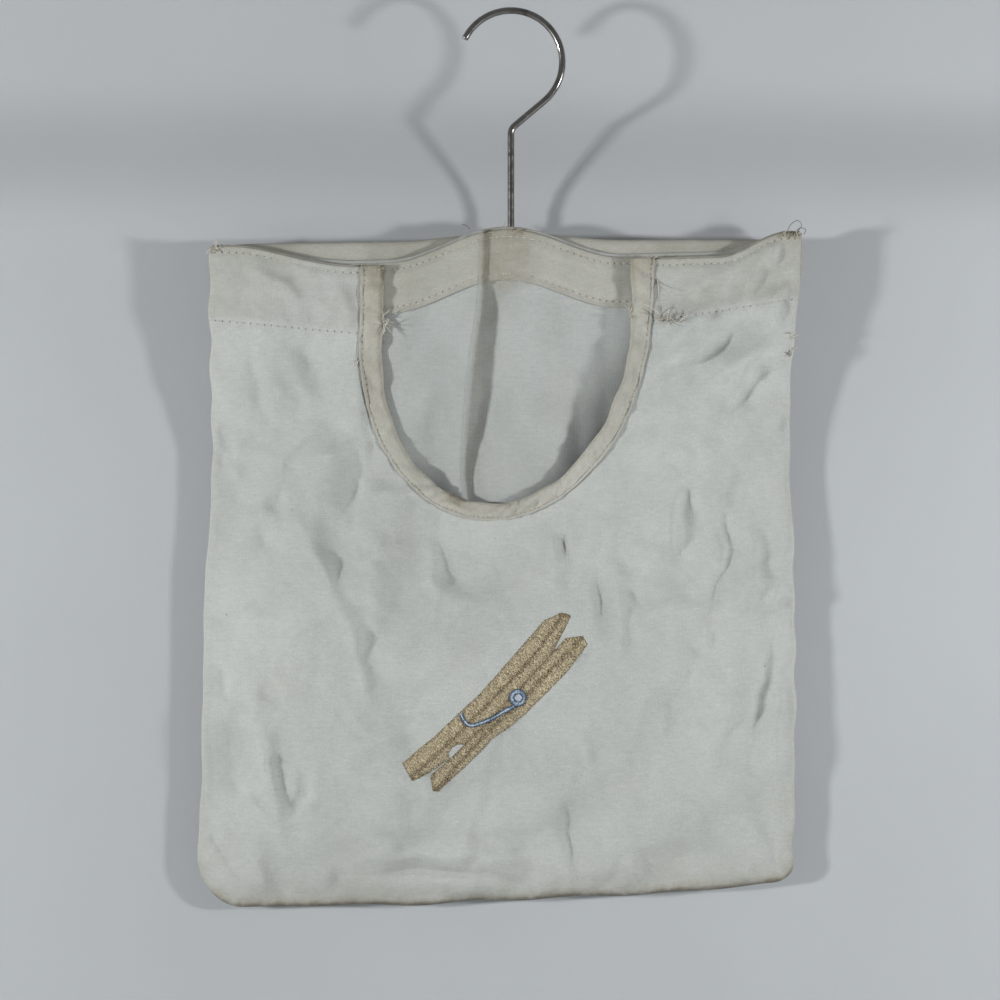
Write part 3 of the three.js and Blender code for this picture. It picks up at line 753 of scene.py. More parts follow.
# The folds that the front hangs in, from the left edge to the right and down to the bottom edge.
FRONT_FOLDS = (
    Fold(((-115, -236), (-111, -251), (-101, -275), (-92, -291), (-82, -314), (-76, -334), (-69, -362)),
         2.9, 20, 11),
    Fold(((-109, -232), (-90, -226), (-69, -221)), 1.0, 5, 9),
    Fold(((-110, -172), (-93, -193)), -1.4, 5, 6),
    Fold(((-120, -166), (-104, -200), (-100, -232)), 1.4, 14, 12),
    Fold(((-139, -318), (-128, -364), (-117, -416)), 1.9, 12, 10),
    Fold(((-124, -352), (-116, -388), (-108, -428)), -1.4, 8, 8),
    Fold(((-84, -281), (-60, -275), (-39, -272)), 1.1, 4, 5),
    Fold(((-34, -268), (-28, -290), (-16, -301)), -1.6, 5, 7),
    Fold(((-45, -266), (-40, -284), (-44, -300)), 1.2, 8, 6),
    Fold(((30, -254), (29, -275), (33, -297)), -1.9, 7, 9),
    Fold(((20, -258), (20, -280), (22, -300)), 1.6, 8, 7),
    Fold(((42, -282), (45, -300), (46, -320)), -2.4, 7, 6),
    Fold(((52, -278), (55, -305), (53, -330)), 1.5, 6, 8),
    Fold(((132, -168), (100, -198), (66, -226)), 2.6, 13, 14),
    Fold(((86, -146), (87, -178), (77, -212), (56, -240)), 2.6, 22, 20),
    Fold(((97, -154), (86, -163), (76, -172)), 2.2, 8, 8),
    Fold(((108, -158), (94, -172), (80, -184)), 1.8, 8, 7),
    Fold(((93, -236), (90, -256), (92, -279)), -1.5, 6, 7),
    Fold(((82, -240), (79, -262), (80, -284)), 1.7, 8, 7),
    Fold(((104, -246), (111, -275), (102, -304), (106, -328)), -1.9, 6, 8),
    Fold(((119, -250), (123, -278), (116, -310)), 2.0, 9, 9),
    Fold(((137, -290), (134, -306)), 1.6, 8, 7),
    Fold(((135, -318), (125, -362), (121, -392)), -2.4, 7, 9),
    Fold(((118, -330), (110, -360), (98, -394)), 2.2, 12, 10),
    Fold(((139, -330), (136, -368), (138, -400)), 1.6, 7, 6),
    Fold(((27, -402), (30, -420), (34, -446)), -2.6, 7, 7),
    Fold(((-80, -441), (-31, -439), (14, -444)), -2.8, 7, 6),
    Fold(((-86, -433), (-30, -431), (22, -436)), 2.2, 8, 10),
    Fold(((128, -408), (133, -424), (138, -440)), -1.7, 5, 5),
    Fold(((-88, -436), (-88, -452)), -1.3, 5, 4),
    Fold(((-154, -420), (-146, -434), (-136, -446)), -1.5, 4, 7),
    Fold(((-156, -404), (-149, -418), (-147, -436)), 1.2, 6, 6),
    Fold(((-132, -432), (-126, -442), (-124, -450)), 1.1, 6, 5),
    Fold(((141, -392), (143, -414), (140, -438)), -1.5, 4, 6),
    Fold(((118, -420), (121, -434), (119, -446)), 1.0, 6, 5),
    Fold(((60, -430), (64, -446)), 1.1, 7, 7),
    Fold(((90, -431), (112, -440), (134, -444)), 1.0, 7, 6),
    Fold(((115, -130), (99, -138), (91, -147)), 3.2, 8, 9),
    Fold(((127, -123), (122, -134), (118, -149)), 3.0, 8, 9),
    Fold(((135, -116), (131, -123), (131, -132)), 2.6, 7, 8),
    Fold(((141, -138), (133, -148), (135, -162)), 2.6, 8, 8),
    Fold(((104, -146), (98, -156), (100, -166)), 2.0, 8, 7),
    Fold(((-136, -131), (-120, -138), (-104, -150)), 1.7, 9, 8),
    Fold(((-90, -138), (-84, -148), (-83, -160)), 1.4, 9, 6),
    Fold(((-84, -404), (-60, -416), (-38, -420)), 1.0, 12, 12),
    Fold(((52, -392), (78, -404), (108, -410)), -1.0, 12, 12),
    Fold(((58, -350), (76, -372), (84, -400)), 1.2, 16, 12),
    Fold(((142, -155), (116, -163), (88, -182), (70, -193)), -2.6, 9, 12),
    Fold(((142, -166), (120, -176), (104, -188), (92, -204)), 3.0, 10, 12),
    Fold(((129, -182), (121, -195), (112, -206)), -2.0, 8, 10),
)

# The folds seen on the back through the mouth.
BACK_FOLDS = (
    Fold(((-46, -150), (-44, -190), (-48, -240)), 1.2, 14, 12),
    Fold(((22, -150), (26, -200), (20, -250)), 1.3, 16, 14),
    Fold(((46, -140), (50, -190), (48, -240)), -1.2, 12, 12),
    Fold(((-34, -120), (-30, -132), (-33, -142)), -0.5, 6, 5),
    Fold(((24, -118), (27, -128), (24, -139)), 0.5, 6, 6),
)


class FrontCloth(Cloth):
    """The front of the bag with its creases, hem puckers and rolled edges."""

    # Distance over which the front comes to rest on the back, mm.
    softness = 0.5
    drift = Ripple(5, 52, 0.30, 1.5)
    crimp = Ripple(17, 17, 0.08)
    fine = Ripple(23, 7, 0.03)
    stray = (Ripple(151, 24, 0.7), Ripple(152, 24, 0.7))
    pressed = press_creases(29, 64, (-150, -445), (140, -170))
    facets = (Facets(131, 27, 60, 0.12, 1.35), Facets(137, 20, 44, -0.70, 1.0),
              Facets(139, 10, 17, 0.45, 0.5))
    fold_strength = 1.25
    edge_seam = Seam(0.35, 0.35, 0.28, 9.0, 5.0, 31)
    hem_seam = Seam(0.45, 0.40, 0.42, 12.0, 8.0, 37)
    side_seam = Seam(0.0, 0.0, 0.85, 17.0, 11.0, 41)
    bottom_seam = Seam(0.0, 0.0, 0.60, 21.0, 10.0, 43)

    def __init__(self, form: BagForm, hang: Hang, back: "BackCloth") -> None:
        """Keeps the back that it hangs in front of, and lets the sheet settle."""
        super().__init__(form, hang)
        self.back = back

        def held(x: Array, z: Array) -> Array:
            """Firm along the seams and the hem, and softly along the mouth."""
            firm = (form.inset(x, z) < 2.6) | (form.front_top(x) - z < form.front_facing - 6)
            return np.where(firm, 1.0, np.where(form.mouth_grow(x, z) < 8, 0.3, 0.0))

        self.slack = Slack(form, hang, self.smooth, form.front_top, held,
                           lambda x, z: form.mouth_grow(x, z) < 4, 0.011, 1)

    def smooth(self, x: Array, z: Array) -> Array:
        """Depth at level points before the cloth creases; it lies close to the back round the mouth."""
        form = self.form
        top = ease((z - form.corner_z + 78) / 50)
        left = hump((x + 60) / 78) * hump((z + 185) / 105)
        low = hump(np.hypot(x + 2, z + 258) / 95)
        gap = (1 - 0.72 * top) * (1 - 0.85 * left) * (1 - 0.88 * low)
        stack = form.stack - 0.9 * left
        return form.back_y(z) - stack + (form.front_y(x, z) - form.back_y(z) + form.stack) * gap

    def creases(self, x: Array, z: Array, lx: Array, lz: Array) -> Array:
        """Height of the folds, facets and pressed creases at hanging points and their level places, mm."""
        form = self.form
        below_hem = form.front_top(lx) - lz - form.front_facing
        loose = 0.40 + 0.60 * ease((form.inset(lx, lz) - 2) / 26) * ease((below_hem + 2) / 24)
        total = loose * sum(facet.at(x, z) for facet in self.facets)
        x, z = x + self.stray[0].at(x, z), z + self.stray[1].at(x, z)
        total = total + sum(self.fold_strength * fold.at(x, z) for fold in FRONT_FOLDS)
        return total + sum(fold.at(x, z) for fold in self.pressed)

    def relief(self, x: Array, z: Array, lx: Array, lz: Array) -> Array:
        """Height of the whole relief towards the viewer, mm.

        Args:
            x: Across places of the hanging points.
            z: Heights of the hanging points.
            lx: Their level across places.
            lz: Their level heights.

        Returns:
            The height at each point.
        """
        form = self.form
        top = form.front_top(lx) - lz
        inset = form.inset(lx, lz)
        grow = form.mouth_grow(lx, lz)
        sewn = 0.35 + 0.65 * ease((inset - 2) / 30) * ease((top - form.front_facing + 4) / 26)
        total = self.slack.at(lx, lz) + self.drift.at(x, z) * sewn + self.fine.at(x, z) + self.crimp.at(x, z)
        total += self.creases(x, z, lx, lz)
        beside = ease((np.abs(lx) - form.mouth_outer + 1) / 4)
        total += self.edge_seam.at(top - form.front_edge_line, lx) * ease((80 - top) / 40) * beside
        total += self.hem_seam.at(form.hem_z(lx) - lz, lx) * ease((100 - top) / 40) * beside
        total += self.side_seam.at(inset, lz) * ease((inset + 0.5) / 6)
        total += self.bottom_seam.at(lz - form.bottom_z, lx)
        tuck = np.exp(-(((grow - form.tape) / 3.0) ** 2)) * np.where(lz < form.corner_z, 1.0, 0.0)
        total -= 0.35 * tuck
        return total

    def depth(self, x: Array, z: Array) -> Array:
        """Depth y at hanging points, mm."""
        lx, lz = self.hang.level(x, z)
        form = self.form
        inset = np.clip(form.inset(lx, lz), 0, None)
        relief = self.relief(x, z, lx, lz) * ease((inset + 1.0) / 7.0)
        y = self.smooth(lx, lz) - relief
        room = 2.1 + 1.1 * ease((lz - form.front_top(lx) + form.front_facing + 8) / 6)
        behind = self.back.bed(x, z, lx, lz) + np.minimum(self.back.lap_height(x, z), 0) - room
        clear = np.clip((behind - y) / self.softness, -60, 60)
        return behind - self.softness * np.log1p(np.exp(clear)) + form.roll(inset) * (form.stack / 2 - 0.5)


class BackCloth(Cloth):
    """The back of the bag, with the lap that runs down from its top edge below the hook."""

    drift = Ripple(59, 46, 0.30, 1.4)
    crimp = Ripple(61, 18, 0.08)
    fine = Ripple(67, 7, 0.03)
    pressed = press_creases(69, 40, (-150, -445), (140, -160))
    facets = (Facets(141, 30, 66, 0.1, 0.8), Facets(149, 17, 34, -0.6, 0.4))
    edge_seam = Seam(0.30, 0.45, 0.22, 8.0, 5.0, 71)
    hem_seam = Seam(0.45, 0.30, 0.35, 11.0, 8.0, 73)
    lap = ((-14.7, -109), (-15.6, -130), (-16.2, -148), (-20.8, -181), (-24.9, -229), (-23.4, -250))

    def __init__(self, form: BagForm, hang: Hang) -> None:
        """Lets the sheet settle."""
        super().__init__(form, hang)

        def held(x: Array, z: Array) -> Array:
            """Firm along the seams and where it lies on the bar."""
            firm = (form.inset(x, z) < 2.6) | (z > form.bar_low[2] - 4)
            return np.where(firm, 1.0, 0.0)

        self.slack = Slack(form, hang, lambda x, z: form.back_y(z), form.back_top, held,
                           lambda x, z: np.zeros(x.shape, bool), 0.006, 2)

    def lap_height(self, x: Array, z: Array) -> Array:
        """Height of the lapped fold: its left side stands over a hollow on its right, mm."""
        d, share = nearest_on(smooth_path(self.lap, 24), x, z)
        over = 1.0 / (1.0 + np.exp(np.clip(d / 0.3, -40, 40)))
        left = (3.6 - 1.0 * ease(share / 0.9)) * over * np.exp(-np.abs(np.minimum(d, 0)) / 30)
        left = left * ease((z + 242) / 32)
        wide = 15 + 7 * ease((-170 - z) / 60)
        right = -5.4 * (1 - over) * np.exp(-((np.maximum(d, 0) / wide) ** 2)) * ease((-134 - z) / 22)
        return left + right * ease((z + 274) / 26)

    def lap_shadow_and_stain(self, x: Array, z: Array) -> Array:
        """Painted shadow of the lapped fold in the band beside it, partly a stain where it grows wider and
        stronger over the facing.
        """
        d, _ = nearest_on(smooth_path(self.lap, 24), x, z)
        upper = ease((z + 147) / 10)
        wide = 14.5 + 20 * upper
        band = ease((d + 0.4) / 0.8) * ease((wide - d) / (0.5 * wide))
        return (0.42 + 0.22 * upper) * band * ease((z + 255) / 20)

    def bed(self, x: Array, z: Array, lx: Array, lz: Array) -> Array:
        """Depth at hanging points and their level places, before the cloth turns in to its seam, mm."""
        form = self.form
        top = form.back_top(lx) - lz
        inset = np.clip(form.inset(lx, lz), 0, None)
        free = ease((form.bar_low[2] - lz) / 35) * ease(inset / 24)
        relief = (self.slack.at(lx, lz) + self.drift.at(x, z) + self.crimp.at(x, z)) * (0.12 + 0.88 * free)
        for fold in BACK_FOLDS:
            relief += fold.at(x, z)
        pressed = 0.6 * sum(fold.at(x, z) for fold in self.pressed)
        relief += free * (pressed + sum(facet.at(x, z) for facet in self.facets))
        relief += self.lap_height(x, z) + self.fine.at(x, z)
        relief += self.edge_seam.at(top - form.back_edge_line, lx) * ease((70 - top) / 30)
        hem = top - form.back_facing + form.back_hem_line
        relief += self.hem_seam.at(hem, lx) * ease((90 - top) / 30)
        relief *= ease((inset + 1.0) / 7.0)
        relief = np.where(lz > form.bar_low[2] - 3, np.maximum(relief, -0.05), relief)
        return form.back_y(lz) - relief

    def depth(self, x: Array, z: Array) -> Array:
        """Depth y at hanging points, mm."""
        lx, lz = self.hang.level(x, z)
        inset = np.clip(self.form.inset(lx, lz), 0, None)
        return self.bed(x, z, lx, lz) - self.form.roll(inset) * (self.form.stack / 2 - 0.5)


class Offset(Cloth):
    """A layer that lies against another sheet, at a distance towards the viewer."""

    def __init__(self, base: Cloth, lift: float) -> None:
        """Keeps the sheet that it lies against and its distance, mm."""
        super().__init__(base.form, base.hang)
        self.base = base
        self.lift = lift

    def depth(self, x: Array, z: Array) -> Array:
        """Depth y at hanging points, mm."""
        return self.base.depth(x, z) - self.lift


def linear(hexcode: str) -> tuple[float, float, float, float]:
    """Linear colour of an sRGB hex code."""
    parts = [int(hexcode[i : i + 2], 16) / 255 for i in (1, 3, 5)]
    return (*[c / 12.92 if c <= 0.04045 else ((c + 0.055) / 1.055) ** 2.4 for c in parts], 1.0)


class Shader:
    """A material being wired: one call adds a node, sets its sockets and links what is a socket."""

    def __init__(self, name: str) -> None:
        """Makes the material with its surface shader."""
        self.material = bpy.data.materials.new(name)
        self.material.use_nodes = True
        self.tree = self.material.node_tree
        self.surface = next(n for n in self.tree.nodes if n.type == "BSDF_PRINCIPLED")

    def set(self, node: bpy.types.Node, sockets: dict) -> None:
        """Sets a node's inputs from values, or links them from other nodes' outputs."""
        for key, value in sockets.items():
            if isinstance(value, bpy.types.NodeSocket):
                self.tree.links.new(value, node.inputs[key])
            else:
                node.inputs[key].default_value = value

    def add(self, kind: str, sockets: dict | None = None, out: int | str = 0, **settings: object) -> Socket:
        """Adds a node.

        Args:
            kind: Its type, without the ShaderNode that begins it.
            sockets: Input values or links, by name or number.
            out: The output to return.
            **settings: The node's own settings.

        Returns:
            The chosen output socket.
        """
        node = self.tree.nodes.new("ShaderNode" + kind)
        for key, value in settings.items():
            setattr(node, key, value)
        self.set(node, sockets or {})
        return node.outputs[out]

    def math(self, operation: str, a: object, b: object = 0.0, clamp: bool = False) -> Socket:
        """One sum on two numbers."""
        return self.add("Math", {0: a, 1: b}, operation=operation, use_clamp=clamp)

    def blend(self, share: object, a: object, b: object, mode: str = "MIX") -> Socket:
        """Mixes two colours."""
        return self.add("Mix", {0: share, 6: a, 7: b}, out=2, data_type="RGBA", blend_type=mode)

    def times(self, a: object, b: object, clamp: bool = False) -> Socket:
        """One number times another."""
        return self.math("MULTIPLY", a, b, clamp)

    def less(self, a: object, b: object) -> Socket:
        """One number less another."""
        return self.math("SUBTRACT", a, b)

    def spread(self, value: object, low: float, high: float, least: float, most: float) -> Socket:
        """Stretches low to high over least to most, evenly."""
        return self.add("MapRange", {0: value, 1: low, 2: high, 3: least, 4: most})

    def ramp(self, value: object, low: float, high: float) -> Socket:
        """Stretches low to high over 0 to 1, smoothly."""
        return self.add("MapRange", {0: value, 1: low, 2: high}, interpolation_type="SMOOTHSTEP")

    def attribute(self, name: str) -> Socket:
        """A number kept on the piece's points."""
        return self.add("Attribute", out="Fac", attribute_name=name)

    def noise(self, where: object, size: float, detail: float = 3.0, rough: float = 0.5) -> Socket:
        """Noise whose features are about this many millimetres across."""
        sockets = {"Vector": where, "Scale": 1 / (size * MM), "Detail": detail, "Roughness": rough}
        return self.add("TexNoise", sockets)

    def bump(self, height: object, depth: float, strength: float = 1.0, under: object = None) -> Socket:
        """Bump of a height field, its depth in millimetres."""
        sockets = {"Height": height, "Distance": depth * MM, "Strength": strength}
        if under is not None:
            sockets["Normal"] = under
        return self.add("Bump", sockets)


@dataclass(frozen=True)
class ClothFinish:
    """Washed cotton: weave, slubs, uneven washing, soiling on worn places, specks and needle holes, with
    painted shade in creases, needle holes, sewn grooves, beside the lap and where the bottom edge rolls
    under.

    Attributes:
        name: Name of the material.
        pale: Colour of the clean cloth.
        dull: Colour where it has greyed.
        soil_and_shade: Colour of the dirt in hems and edges, also used for painted shade along sewn lines and
            beside the lap.
        pitch: Spacing of the yarns, mm.
        turn: Turn of the weave on the sheet, radians.
        stitch: Spacing of the needle holes, mm.
        warm: Colour of its warmer patches.
        grime_and_shade: Colour of the dirtiest edges, and of the painted shade where the bottom edge rolls
            under.
        crease: Colour of the painted shade in the bottom of creases.
        speck: Colour of the specks.
        hole: Colour of the painted shade in the needle holes.
    """

    name: str
    pale: str
    dull: str
    soil_and_shade: str = "#8E8674"
    pitch: float = 1.25
    turn: float = 0.0
    stitch: float = 3.5
    warm: str = "#ADA997"
    grime_and_shade: str = "#53534D"
    crease: str = "#8F918C"
    speck: str = "#6E6A5E"
    hole: str = "#57544A"

    def material(self) -> bpy.types.Material:
        """Wires the material."""
        s = Shader(self.name)
        place = s.add("TexCoord", out="Object")
        turned = s.add("Mapping", {"Vector": s.add("UVMap", uv_map="UVMap"), "Rotation": (0, 0, self.turn)})
        # The real yarns, about 0.4 mm, are too fine to show, so the weave is drawn coarser and faint.
        wave = {"Vector": turned, "Scale": 2 * math.pi / (20 * self.pitch * MM), "Distortion": 2.4,
                "Detail": 2.0}
        warp, weft = (s.add("TexWave", wave, out=1, bands_direction=axis) for axis in "XY")
        weave = s.times(warp, weft)
        slub = s.noise(s.add("Mapping", {"Vector": turned, "Scale": (0.35, 1.0, 1.0)}), 1.6, 2.0)
        hole = self.needle_holes(s)
        colour = self.washed(s, place)
        colour = self.soiled_and_shaded(s, place, colour)
        # Painted shade along the groove of each sewn line.
        groove = s.less(1.0, s.ramp(s.math("ABSOLUTE", s.attribute("sewn_gap")), 0.1, 1.1))
        colour = s.blend(s.times(groove, 0.10), colour, linear(self.soil_and_shade))
        # Painted shade in the needle holes between the stitches.
        colour = s.blend(s.times(hole, 0.5), colour, linear(self.hole))
        grain = s.math("ADD", s.times(slub, 0.7), s.times(s.noise(place, 0.9, 2.0, 0.7), 1.1))
        tint = s.spread(s.math("ADD", s.times(weave, 0.20), grain), 0.45, 1.5, 0.84, 1.13)
        colour = s.blend(1.0, colour, s.add("CombineColor", {0: tint, 1: tint, 2: tint}), "MULTIPLY")
        normal = s.bump(s.noise(place, 11, 3.0, 0.55), 0.55, 0.55)
        for height, depth, strength in ((slub, 0.16, 0.7), (weave, 0.12, 0.6), (s.less(1.0, hole), 0.5, 0.8)):
            normal = s.bump(height, depth, strength, normal)
        s.set(s.surface, {"Base Color": colour, "Normal": normal, "Roughness": 0.92,
                          "Specular IOR Level": 0.25, "Sheen Weight": 0.12, "Sheen Roughness": 0.6})
        return s.material

    def washed(self, s: Shader, place: Socket) -> Socket:
        """Colour of the clean cloth: greyed in clouds by washing and warmer in places."""
        patch = s.ramp(s.noise(place, 70, 4.0, 0.55), 0.36, 0.66)
        cloud = s.times(s.ramp(s.noise(place, 17, 4.0, 0.6), 0.35, 0.7), 0.45)
        grey = s.times(s.math("ADD", patch, cloud), 0.62, clamp=True)
        warm = s.times(s.ramp(s.noise(place, 42, 3.0), 0.52, 0.74), 0.14)
        return s.blend(warm, s.blend(grey, linear(self.pale), linear(self.dull)), linear(self.warm))

    def soiled_and_shaded(self, s: Shader, place: Socket, colour: Socket) -> Socket:
        """Adds dirt on worn places, darker dirt on the dirtiest edges, painted shade beside the lap, at the
        rolled bottom edge and in the creases, and a few specks.
        """
        # The mark holds dirt and also painted shade beside the lap and where the bottom edge rolls under.
        uneven = s.spread(s.noise(place, 7, 4.0, 0.65), 0.3, 0.7, 0.35, 0.9)
        soil_and_shade = s.times(s.attribute("soil_and_shade"), uneven, clamp=True)
        colour = s.blend(soil_and_shade, colour, linear(self.soil_and_shade))
        # The darkest edges: dirt, and painted shade where the bottom edge rolls under.
        grime_and_shade = s.times(s.ramp(s.attribute("soil_and_shade"), 0.8, 1.5), uneven, clamp=True)
        colour = s.blend(grime_and_shade, colour, linear(self.grime_and_shade))
        # Painted shade in the bottom of creases.
        colour = s.blend(s.times(s.attribute("crease"), 0.18), colour, linear(self.crease))
        speck = s.add("TexVoronoi", {"Vector": place, "Scale": 1 / (17 * MM), "Randomness": 1.0})
        dots = s.less(1.0, s.ramp(speck, 0.018, 0.045))
        few = s.math("GREATER_THAN", s.noise(place, 30, 1.0), 0.50)
        return s.blend(s.times(s.times(dots, few), 0.62), colour, linear(self.speck))

    def needle_holes(self, s: Shader) -> Socket:
        """1 in the needle holes between the stitches of a sewn line."""
        run = s.math("FRACT", s.math("DIVIDE", s.attribute("sewn_run"), self.stitch))
        along = s.times(s.math("ABSOLUTE", s.less(run, 0.5)), self.stitch)
        near = s.math("POWER", s.less(self.stitch / 2, along), 2.0)
        reach = s.math("SQRT", s.math("ADD", near, s.math("POWER", s.attribute("sewn_gap"), 2.0)))
        return s.less(1.0, s.ramp(reach, 0.2, 0.55))


@dataclass(frozen=True)
class ThreadFinish:
    """Twisted sewing thread whose tone changes from stitch to stitch.

    Attributes:
        name: Name of the material.
        pale: Colour of the palest stitches.
        dark: Colour of the darkest.
        rough: Roughness; embroidery thread is the glossier.
        sheen: Strength of the sheen.
        fleck: Strength of the fine light and dark flecks.
    """

    name: str
    pale: str
    dark: str
    rough: float = 0.8
    sheen: float = 0.1
    fleck: float = 0.3

    def material(self) -> bpy.types.Material:
        """Wires the material."""
        s = Shader(self.name)
        place = s.add("TexCoord", out="Object")
        change = s.times(s.less(s.noise(place, 3.0), 0.5), 0.45)
        tone = s.math("ADD", s.attribute("tone"), change, clamp=True)
        fine = s.times(s.less(s.noise(place, 0.6, 1.0), 0.5), self.fleck * 3)
        colour = s.blend(s.math("ADD", tone, fine, clamp=True), linear(self.dark), linear(self.pale))
        twist = s.noise(place, 0.35, 2.0, 0.6)
        s.set(s.surface, {"Base Color": colour, "Normal": s.bump(twist, 0.08, 0.7), "Roughness": self.rough,
                          "Specular IOR Level": 0.4, "Sheen Weight": self.sheen, "Sheen Roughness": 0.4})
        return s.material


@dataclass(frozen=True)
class SteelFinish:
    """Drawn steel with fine lines along it, dulled in places.

    Attributes:
        name: Name of the material.
        bright: Colour of the clean metal.
        dull: Colour of its tarnish.
        smooth: Lowest roughness.
        coarse: Highest roughness.
    """

    name: str
    bright: str
    dull: str
    smooth: float
    coarse: float

    def material(self) -> bpy.types.Material:
        """Wires the material."""
        s = Shader(self.name)
        place = s.add("TexCoord", out="Object")
        patch = s.noise(place, 5.0, 5.0, 0.6)
        colour = s.blend(s.ramp(patch, 0.42, 0.75), linear(self.bright), linear(self.dull))
        rough = s.spread(s.noise(place, 2.2, 4.0, 0.65), 0.3, 0.75, self.smooth, self.coarse)
        drawn = s.noise(s.add("Mapping", {"Vector": place, "Scale": (1.0, 1.0, 0.06)}), 0.35, 2.0)
        s.set(s.surface, {"Base Color": colour, "Roughness": rough, "Metallic": 1.0,
                          "Normal": s.bump(drawn, 0.03, 0.5)})
        return s.material


@dataclass(frozen=True)
class WoodFinish:
    """Sanded beech with flecks along the grain.

    Attributes:
        name: Name of the material.
        pale: Colour of the early wood.
        dark: Colour of the late wood.
        fleck: Colour of the flecks.
    """

    name: str
    pale: str
    dark: str
    fleck: str

    def material(self) -> bpy.types.Material:
        """Wires the material."""
        s = Shader(self.name)
        place = s.add("TexCoord", out="Object")
        along = s.add("Mapping", {"Vector": place, "Scale": (0.06, 1.0, 1.0)})
        grain = s.noise(along, 3.2, 5.0, 0.6)
        colour = s.blend(s.ramp(grain, 0.35, 0.68), linear(self.pale), linear(self.dark))
        fleck = s.noise(s.add("Mapping", {"Vector": place, "Scale": (0.22, 1.0, 1.0)}), 0.7, 2.0)
        colour = s.blend(s.times(s.ramp(fleck, 0.6, 0.72), 0.55), colour, linear(self.fleck))
        s.set(s.surface, {"Base Color": colour, "Normal": s.bump(grain, 0.12, 0.5), "Roughness": 0.62})
        return s.material


class Finish(Enum):
    """Every finish on the bag."""

    # Washed off-white cotton drill of the front, with painted shade in the bottom of its creases.
    FRONT = ClothFinish("washed_drill_front", "#BDC1BE", "#B2B6B2")
    # The same drill inside the bag and on its back, a little greyer.
    BACK = ClothFinish("washed_drill_back", "#B1B5B3", "#A4A8A5")
    # Creamier drill of the facings.
    FACING = ClothFinish("cream_drill_facing", "#B1B1A9", "#A5A59B")
    # The sleeve over the bar, rubbed and yellowed on top.
    SLEEVE = ClothFinish("washed_drill_sleeve", "#B0AFA6", "#9E9C92")
    # Folded cream bias tape, its yarns at 45 degrees to its length.
    TAPE = ClothFinish("cream_bias_tape", "#BBBAB2", "#A9A89E", "#8F8772", 1.25, math.pi / 4, 2.7)
    # Sewing thread of the hems and the binding.
    SEWING = ThreadFinish("cotton_sewing_thread", "#CBC9C0", "#AFACA0")
    # Soiled overcast thread at the corners.
    OVERCAST = ThreadFinish("soiled_overcast_thread", "#BDB7A8", "#9A917F")
    # Frayed yarns of the cloth and tape.
    FRAY = ThreadFinish("frayed_yarn", "#D6D3C9", "#A7A295", 0.9, 0.2)
    # Dark loose ends of sewing thread.
    DARK_END = ThreadFinish("dark_thread_end", "#5E5648", "#37322A", 0.9)
    # Tan satin stitch of the embroidered peg.
    TAN = ThreadFinish("tan_satin_thread", "#D9CCAB", "#655439", 0.45, 0.3, 0.75)
    # Brown groove stitches of the peg.
    BROWN = ThreadFinish("brown_satin_thread", "#84734F", "#65553B", 0.55, 0.25)
    # Blue satin stitch of the embroidered spring.
    BLUE = ThreadFinish("blue_satin_thread", "#B3C4D2", "#46617F", 0.5, 0.3, 0.6)
    # Dark blue edge of the spring.
    NAVY = ThreadFinish("navy_satin_thread", "#40546E", "#2C3B50", 0.5, 0.3)
    # Pale eye of the spring, also laid as painted glints on its ring and arm.
    ICE = ThreadFinish("ice_satin_thread", "#D5DEE4", "#A5B6C4", 0.5, 0.3)
    # Bright drawn wire of the hook.
    STEEL = SteelFinish("polished_hook_wire", "#8D8B88", "#6A6763", 0.12, 0.30)
    # Zinc plate of the washer under the bar.
    ZINC = SteelFinish("zinc_washer", "#B4B5B6", "#8E8F8F", 0.30, 0.50)
    # Plain beech of the bar.
    BEECH = WoodFinish("sanded_beech", "#CDAF84", "#B08E60", "#8C6B43")

    def material(self) -> bpy.types.Material:
        """The finish's material, made the first time that it is asked for."""
        return bpy.data.materials.get(self.value.name) or self.value.material()


def active() -> Piece:
    """The object that the last operator made or works on."""
    return bpy.context.view_layer.objects.active


def only(obj: Piece) -> Piece:
    """Selects one object and nothing else."""
    bpy.ops.object.select_all(action="DESELECT")
    obj.select_set(True)
    bpy.context.view_layer.objects.active = obj
    return obj


def publish(obj: Piece, finish: Finish, body: Body = Body.BAG,
            nodes: Sequence[str] = ()) -> Piece:
    """Gives a finished piece its material and its place in the frame.

    Args:
        obj: The piece.
        finish: What it is made of.
        body: The body that it moves with.
        nodes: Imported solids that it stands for.

    Returns:
        The piece.
    """
    obj.data.materials.clear()
    obj.data.materials.append(finish.material())
    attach(obj, body.value)
    if nodes:
        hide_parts(*nodes)
    log.info("%s: %d faces on %s", obj.name, len(obj.data.polygons), body.value)
    return obj


def keep(mesh: bpy.types.Mesh, name: str, values: Array) -> None:
    """Keeps a number on each point of a mesh."""
    numbers = np.asarray(values, np.float32).ravel()
    mesh.attributes.new(name, "FLOAT", "POINT").data.foreach_set("value", numbers)


def add_grid(columns: int, rows: int) -> Piece:
    """Adds a flat grid, one unit wide, with this many points across and up."""
    bpy.ops.object.select_all(action="DESELECT")
    bpy.ops.mesh.primitive_grid_add(x_subdivisions=columns - 1, y_subdivisions=rows - 1, size=1.0)
    return active()


